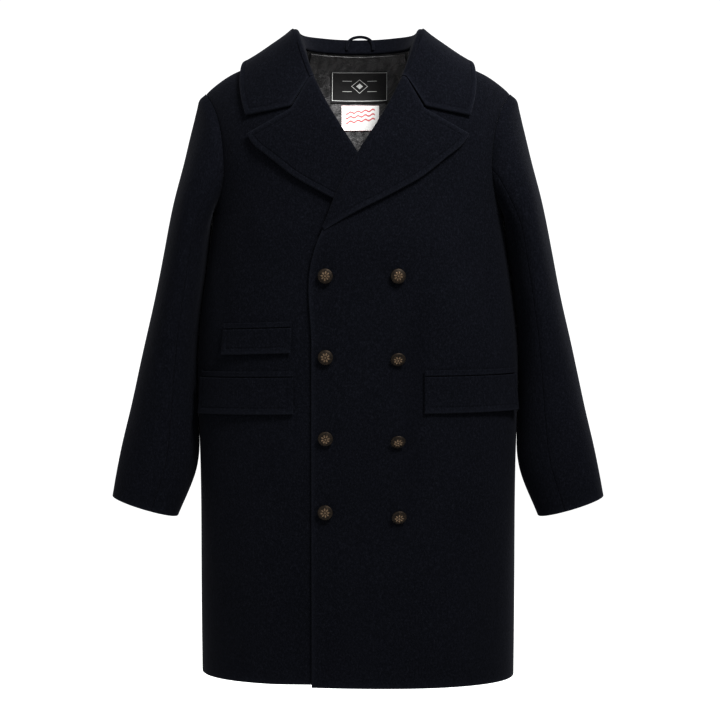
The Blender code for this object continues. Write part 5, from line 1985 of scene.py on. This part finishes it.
@dataclass(frozen=True)
class AntiqueBrass:
    """Cast brass, darkened in its hollows and rubbed bright on what stands up."""
    name: str = "antique_brass"
    dark: tuple = (0.008, 0.0060, 0.0045)
    brass: tuple = (0.085, 0.060, 0.040)
    bright: tuple = (0.30, 0.225, 0.155)

    def make(self) -> Finish:
        """Patina by the raised work, with specks and a dull film.

        Returns:
            The material.
        """
        bench = Bench(self.name, Metallic=1.0, Roughness=0.4)
        specks = bench.noise(bench.place((1500, 1500, 1500)), 1.0, 3.0, 0.65)
        film = bench.noise(bench.place((330, 330, 330)), 1.0, 2.0)
        raised = bench.mark("raised")
        rim = bench.mark("rim").within(0.45, 1.0)
        rubbed = (raised.within(0.12, 0.75) * 0.65 + film.within(0.35, 0.75) * 0.45) * (1 - rim * 0.75)
        colour = bench.blend(rubbed, self.dark, self.brass)
        worn = raised.within(0.5, 1.0) * specks.within(0.3, 0.6) * 0.55 * (1 - rim * 0.6)
        colour = bench.blend(worn, colour, self.bright)
        return bench.wear(Base_Color=colour, Metallic=0.82 + rubbed * 0.18,
                          Roughness=0.50 - rubbed * 0.22 + specks * 0.14,
                          Normal=bench.bump(specks, 0.00012, 0.5))


class Motif(Enum):
    """The plain figure woven into a label."""
    LOZENGE = "lozenge"
    WAVES = "waves"


@dataclass(frozen=True)
class WovenLabel:
    """A damask label: ground and figure threads, a border and a generic figure."""
    name: str
    ground: tuple
    figure: tuple
    size: tuple[float, float]
    border: tuple[float, float]
    motif: Motif

    def make(self) -> Finish:
        """Border and motif from distances on the label's plan in decimetres, woven in fine ribs.

        Returns:
            The material.
        """
        bench = Bench(self.name, Roughness=0.75, Sheen_Weight=0.08)
        parts = bench.node("ShaderNodeSeparateXYZ", {}, {"Vector": bench.plan()})
        across, down = (Signal(bench, parts.outputs[k]) * 100 for k in ("X", "Y"))
        u, v = (off.math("ABSOLUTE") for off in (across - self.size[0] / 2, down - self.size[1] / 2))
        edge = (self.size[0] / 2 - u).math("MINIMUM", self.size[1] / 2 - v)
        motif = self.lozenge(u, v) if self.motif is Motif.LOZENGE else self.waves(across, down)
        figure = self.line(edge, *self.border).math("MAXIMUM", motif)
        warp = bench.wave(bench.cloth_plan((210, 210, 1)), 1.0, "X")
        weft = bench.wave(bench.cloth_plan((260, 260, 1)), 1.0, "Y")
        thread = warp * 0.5 + weft * 0.5
        colour = bench.blend(figure * (0.80 + weft * 0.2), self.ground, self.figure)
        colour = bench.blend(thread.within(0.1, 0.5) * 0.35 + 0.65, tuple(0.45 * c for c in self.ground), colour)
        return bench.wear(Base_Color=colour, Roughness=0.62 + thread * 0.2,
                          Normal=bench.bump(thread + figure * 0.8, 0.00012, 0.6))

    @staticmethod
    def line(distance: Signal, at: float, half: float) -> Signal:
        """A line where a distance is near a value: 1 inside, soft at its edges."""
        return 1 - (distance - at).math("ABSOLUTE").within(half * 0.6, half * 1.3)

    def lozenge(self, u: Signal, v: Signal) -> Signal:
        """Two nested lozenges over a pair of plain rules.

        Args:
            u, v: distances from the middle.

        Returns:
            The figure's share.
        """
        size = u * 0.9 + v
        rules = self.line(v, 8.5, 0.5) * (1 - u.within(26.0, 27.0)) * u.within(11.5, 12.5)
        return self.line(size, 11.0, 0.6).math("MAXIMUM", 1 - size.within(4.2, 5.4)).math("MAXIMUM", rules)

    def waves(self, across: Signal, down: Signal) -> Signal:
        """Three slanting waved rules.

        Args:
            across, down: places on the label.

        Returns:
            The figure's share.
        """
        level = down + across * 0.12 + (across * 0.55).math("SINE") * 1.3
        inside = across.within(6.0, 8.0) * (1 - across.within(self.size[0] - 8, self.size[0] - 6))
        rules = [self.line(level, at, 1.2) for at in (13.0, 20.0, 27.0)]
        return (rules[0] + rules[1] + rules[2]) * inside


@dataclass(frozen=True)
class Backdrop:
    """Seamless pale paper."""
    name: str = "pale_paper"

    def make(self) -> Finish:
        """Plain white with the faintest tooth.

        Returns:
            The material.
        """
        bench = Bench(self.name, Roughness=0.9, Specular_IOR_Level=0.1)
        tooth = bench.noise(bench.place((60, 60, 60)), 1.0, 2.0)
        return bench.wear(Base_Color=bench.blend(tooth, (0.93, 0.93, 0.93), (0.95, 0.95, 0.95)))


# ------------ studio
class Lamp(NamedTuple):
    """A square soft light: its place, aim and size in metres, watts, tint and spread in degrees."""
    name: str
    place: tuple
    aim: tuple
    size: float
    power: float
    tint: tuple
    spread: float


LAMPS = (
    Lamp("key", (0.95, -1.5, 1.6), (0.02, 0, -0.10), 0.7, 24, (1.0, 0.99, 0.97), 60),
    Lamp("fill", (-2.2, -2.0, 0.2), (0, 0, -0.45), 2.0, 3, (0.96, 0.98, 1.0), 90),
    Lamp("rim_left", (-1.7, 1.5, 0.6), (-0.2, 0, -0.35), 1.0, 6, (1.0, 1.0, 1.0), 90),
    Lamp("rim_right", (1.7, 1.5, 0.7), (0.2, 0, -0.35), 1.0, 12, (1.0, 1.0, 1.0), 90),
)


@dataclass(frozen=True)
class Studio:
    """Camera at the photograph's angle, a pale seamless floor and soft lights."""
    eye: tuple = (0.003, -2.79, -0.285)
    aim: tuple = (0.003, 0.0, -0.45)
    metres_per_pixel: float = 0.0015
    pixels: int = 720
    floor_z: float = -1.30
    floor_half: float = 6.0
    daylight: float = 1.1
    sensor: float = 36.0

    def camera(self) -> None:
        """A camera whose frame is `pixels` wide at `metres_per_pixel` at the aim."""
        data = bpy.data.cameras.new("camera")
        eye, aim = Vector(self.eye), Vector(self.aim)
        data.sensor_width = self.sensor
        data.lens = self.sensor * (aim - eye).length / (self.pixels * self.metres_per_pixel)
        data.clip_end = 100.0
        camera = bpy.data.objects.new("camera", data)
        camera.location = eye
        camera.rotation_euler = (aim - eye).to_track_quat("-Z", "Y").to_euler()
        bpy.context.scene.collection.objects.link(camera)
        bpy.context.scene.camera = camera

    def light(self, lamp: Lamp) -> None:
        """A square soft light whose grid narrows it.

        Args:
            lamp: the light's sizes.
        """
        data = bpy.data.lights.new(lamp.name, "AREA")
        data.shape, data.size, data.energy, data.color = "SQUARE", lamp.size, lamp.power, lamp.tint
        data.spread = radians(lamp.spread)
        light = bpy.data.objects.new(lamp.name, data)
        light.location = lamp.place
        light.rotation_euler = (Vector(lamp.aim) - Vector(lamp.place)).to_track_quat("-Z", "Y").to_euler()
        bpy.context.scene.collection.objects.link(light)

    def build(self, paper: Finish) -> None:
        """Sets camera, lights, world and a floor of the paper given.

        Args:
            paper: the floor's finish.
        """
        self.camera()
        for lamp in LAMPS:
            self.light(lamp)
        # a print's plain contrast: white paper stays white and dark cloth stays dark
        view = bpy.context.scene.view_settings
        view.view_transform, view.look, view.exposure, view.gamma = "Standard", "None", 0.0, 0.8
        world = bpy.data.worlds.new("studio")
        world.use_nodes = True
        sky = world.node_tree.nodes["Background"].inputs
        sky["Color"].default_value, sky["Strength"].default_value = (1.0, 1.0, 1.0, 1.0), self.daylight
        bpy.context.scene.world = world
        corners = ((-1, -1), (1, -1), (1, 1), (-1, 1))
        mesh = bpy.data.meshes.new("floor")
        mesh.from_pydata([(x * self.floor_half, y * self.floor_half, self.floor_z) for x, y in corners], [],
                         [(0, 1, 2, 3)])
        mesh.materials.append(paper)
        floor = bpy.data.objects.new("floor", mesh)
        bpy.context.scene.collection.objects.link(floor)


# ------------ the coat
def main() -> None:
    """Builds the studio and the coat's parts in order."""
    logging.basicConfig(level=logging.INFO, format="%(name)s: %(message)s")
    Studio().build(Backdrop().make())
    shop = Workroom()
    wool, satin, metal = Melton().make(), Satin().make(), AntiqueBrass().make()
    tape = Melton(name="loop_tape", sheen=0.05).make()
    labels = {
        "label_dark": WovenLabel("label_dark_woven", (0.005, 0.005, 0.006), (0.62, 0.63, 0.63), (89, 51),
                                 (2.4, 0.55), Motif.LOZENGE).make(),
        "label_pale": WovenLabel("label_pale_woven", (0.80, 0.80, 0.80), (0.52, 0.020, 0.028), (59, 39),
                                 (0.2, 0.2), Motif.WAVES).make(),
    }
    BodyMaker(shop, wool, satin).make()
    for side in Side:
        SleeveMaker(side, shop, wool, satin).make()
    LapelMaker(shop, wool).make()
    collar = CollarMaker(shop, wool)
    collar.make()
    PocketMaker(shop, wool).make()
    LiningMaker(shop, satin, labels).make()
    LoopMaker(shop, tape, collar).make()
    ButtonMaker(shop, metal).make()
    LOG.info("%d pieces", shop.made)


if __name__ == "__main__":
    main()
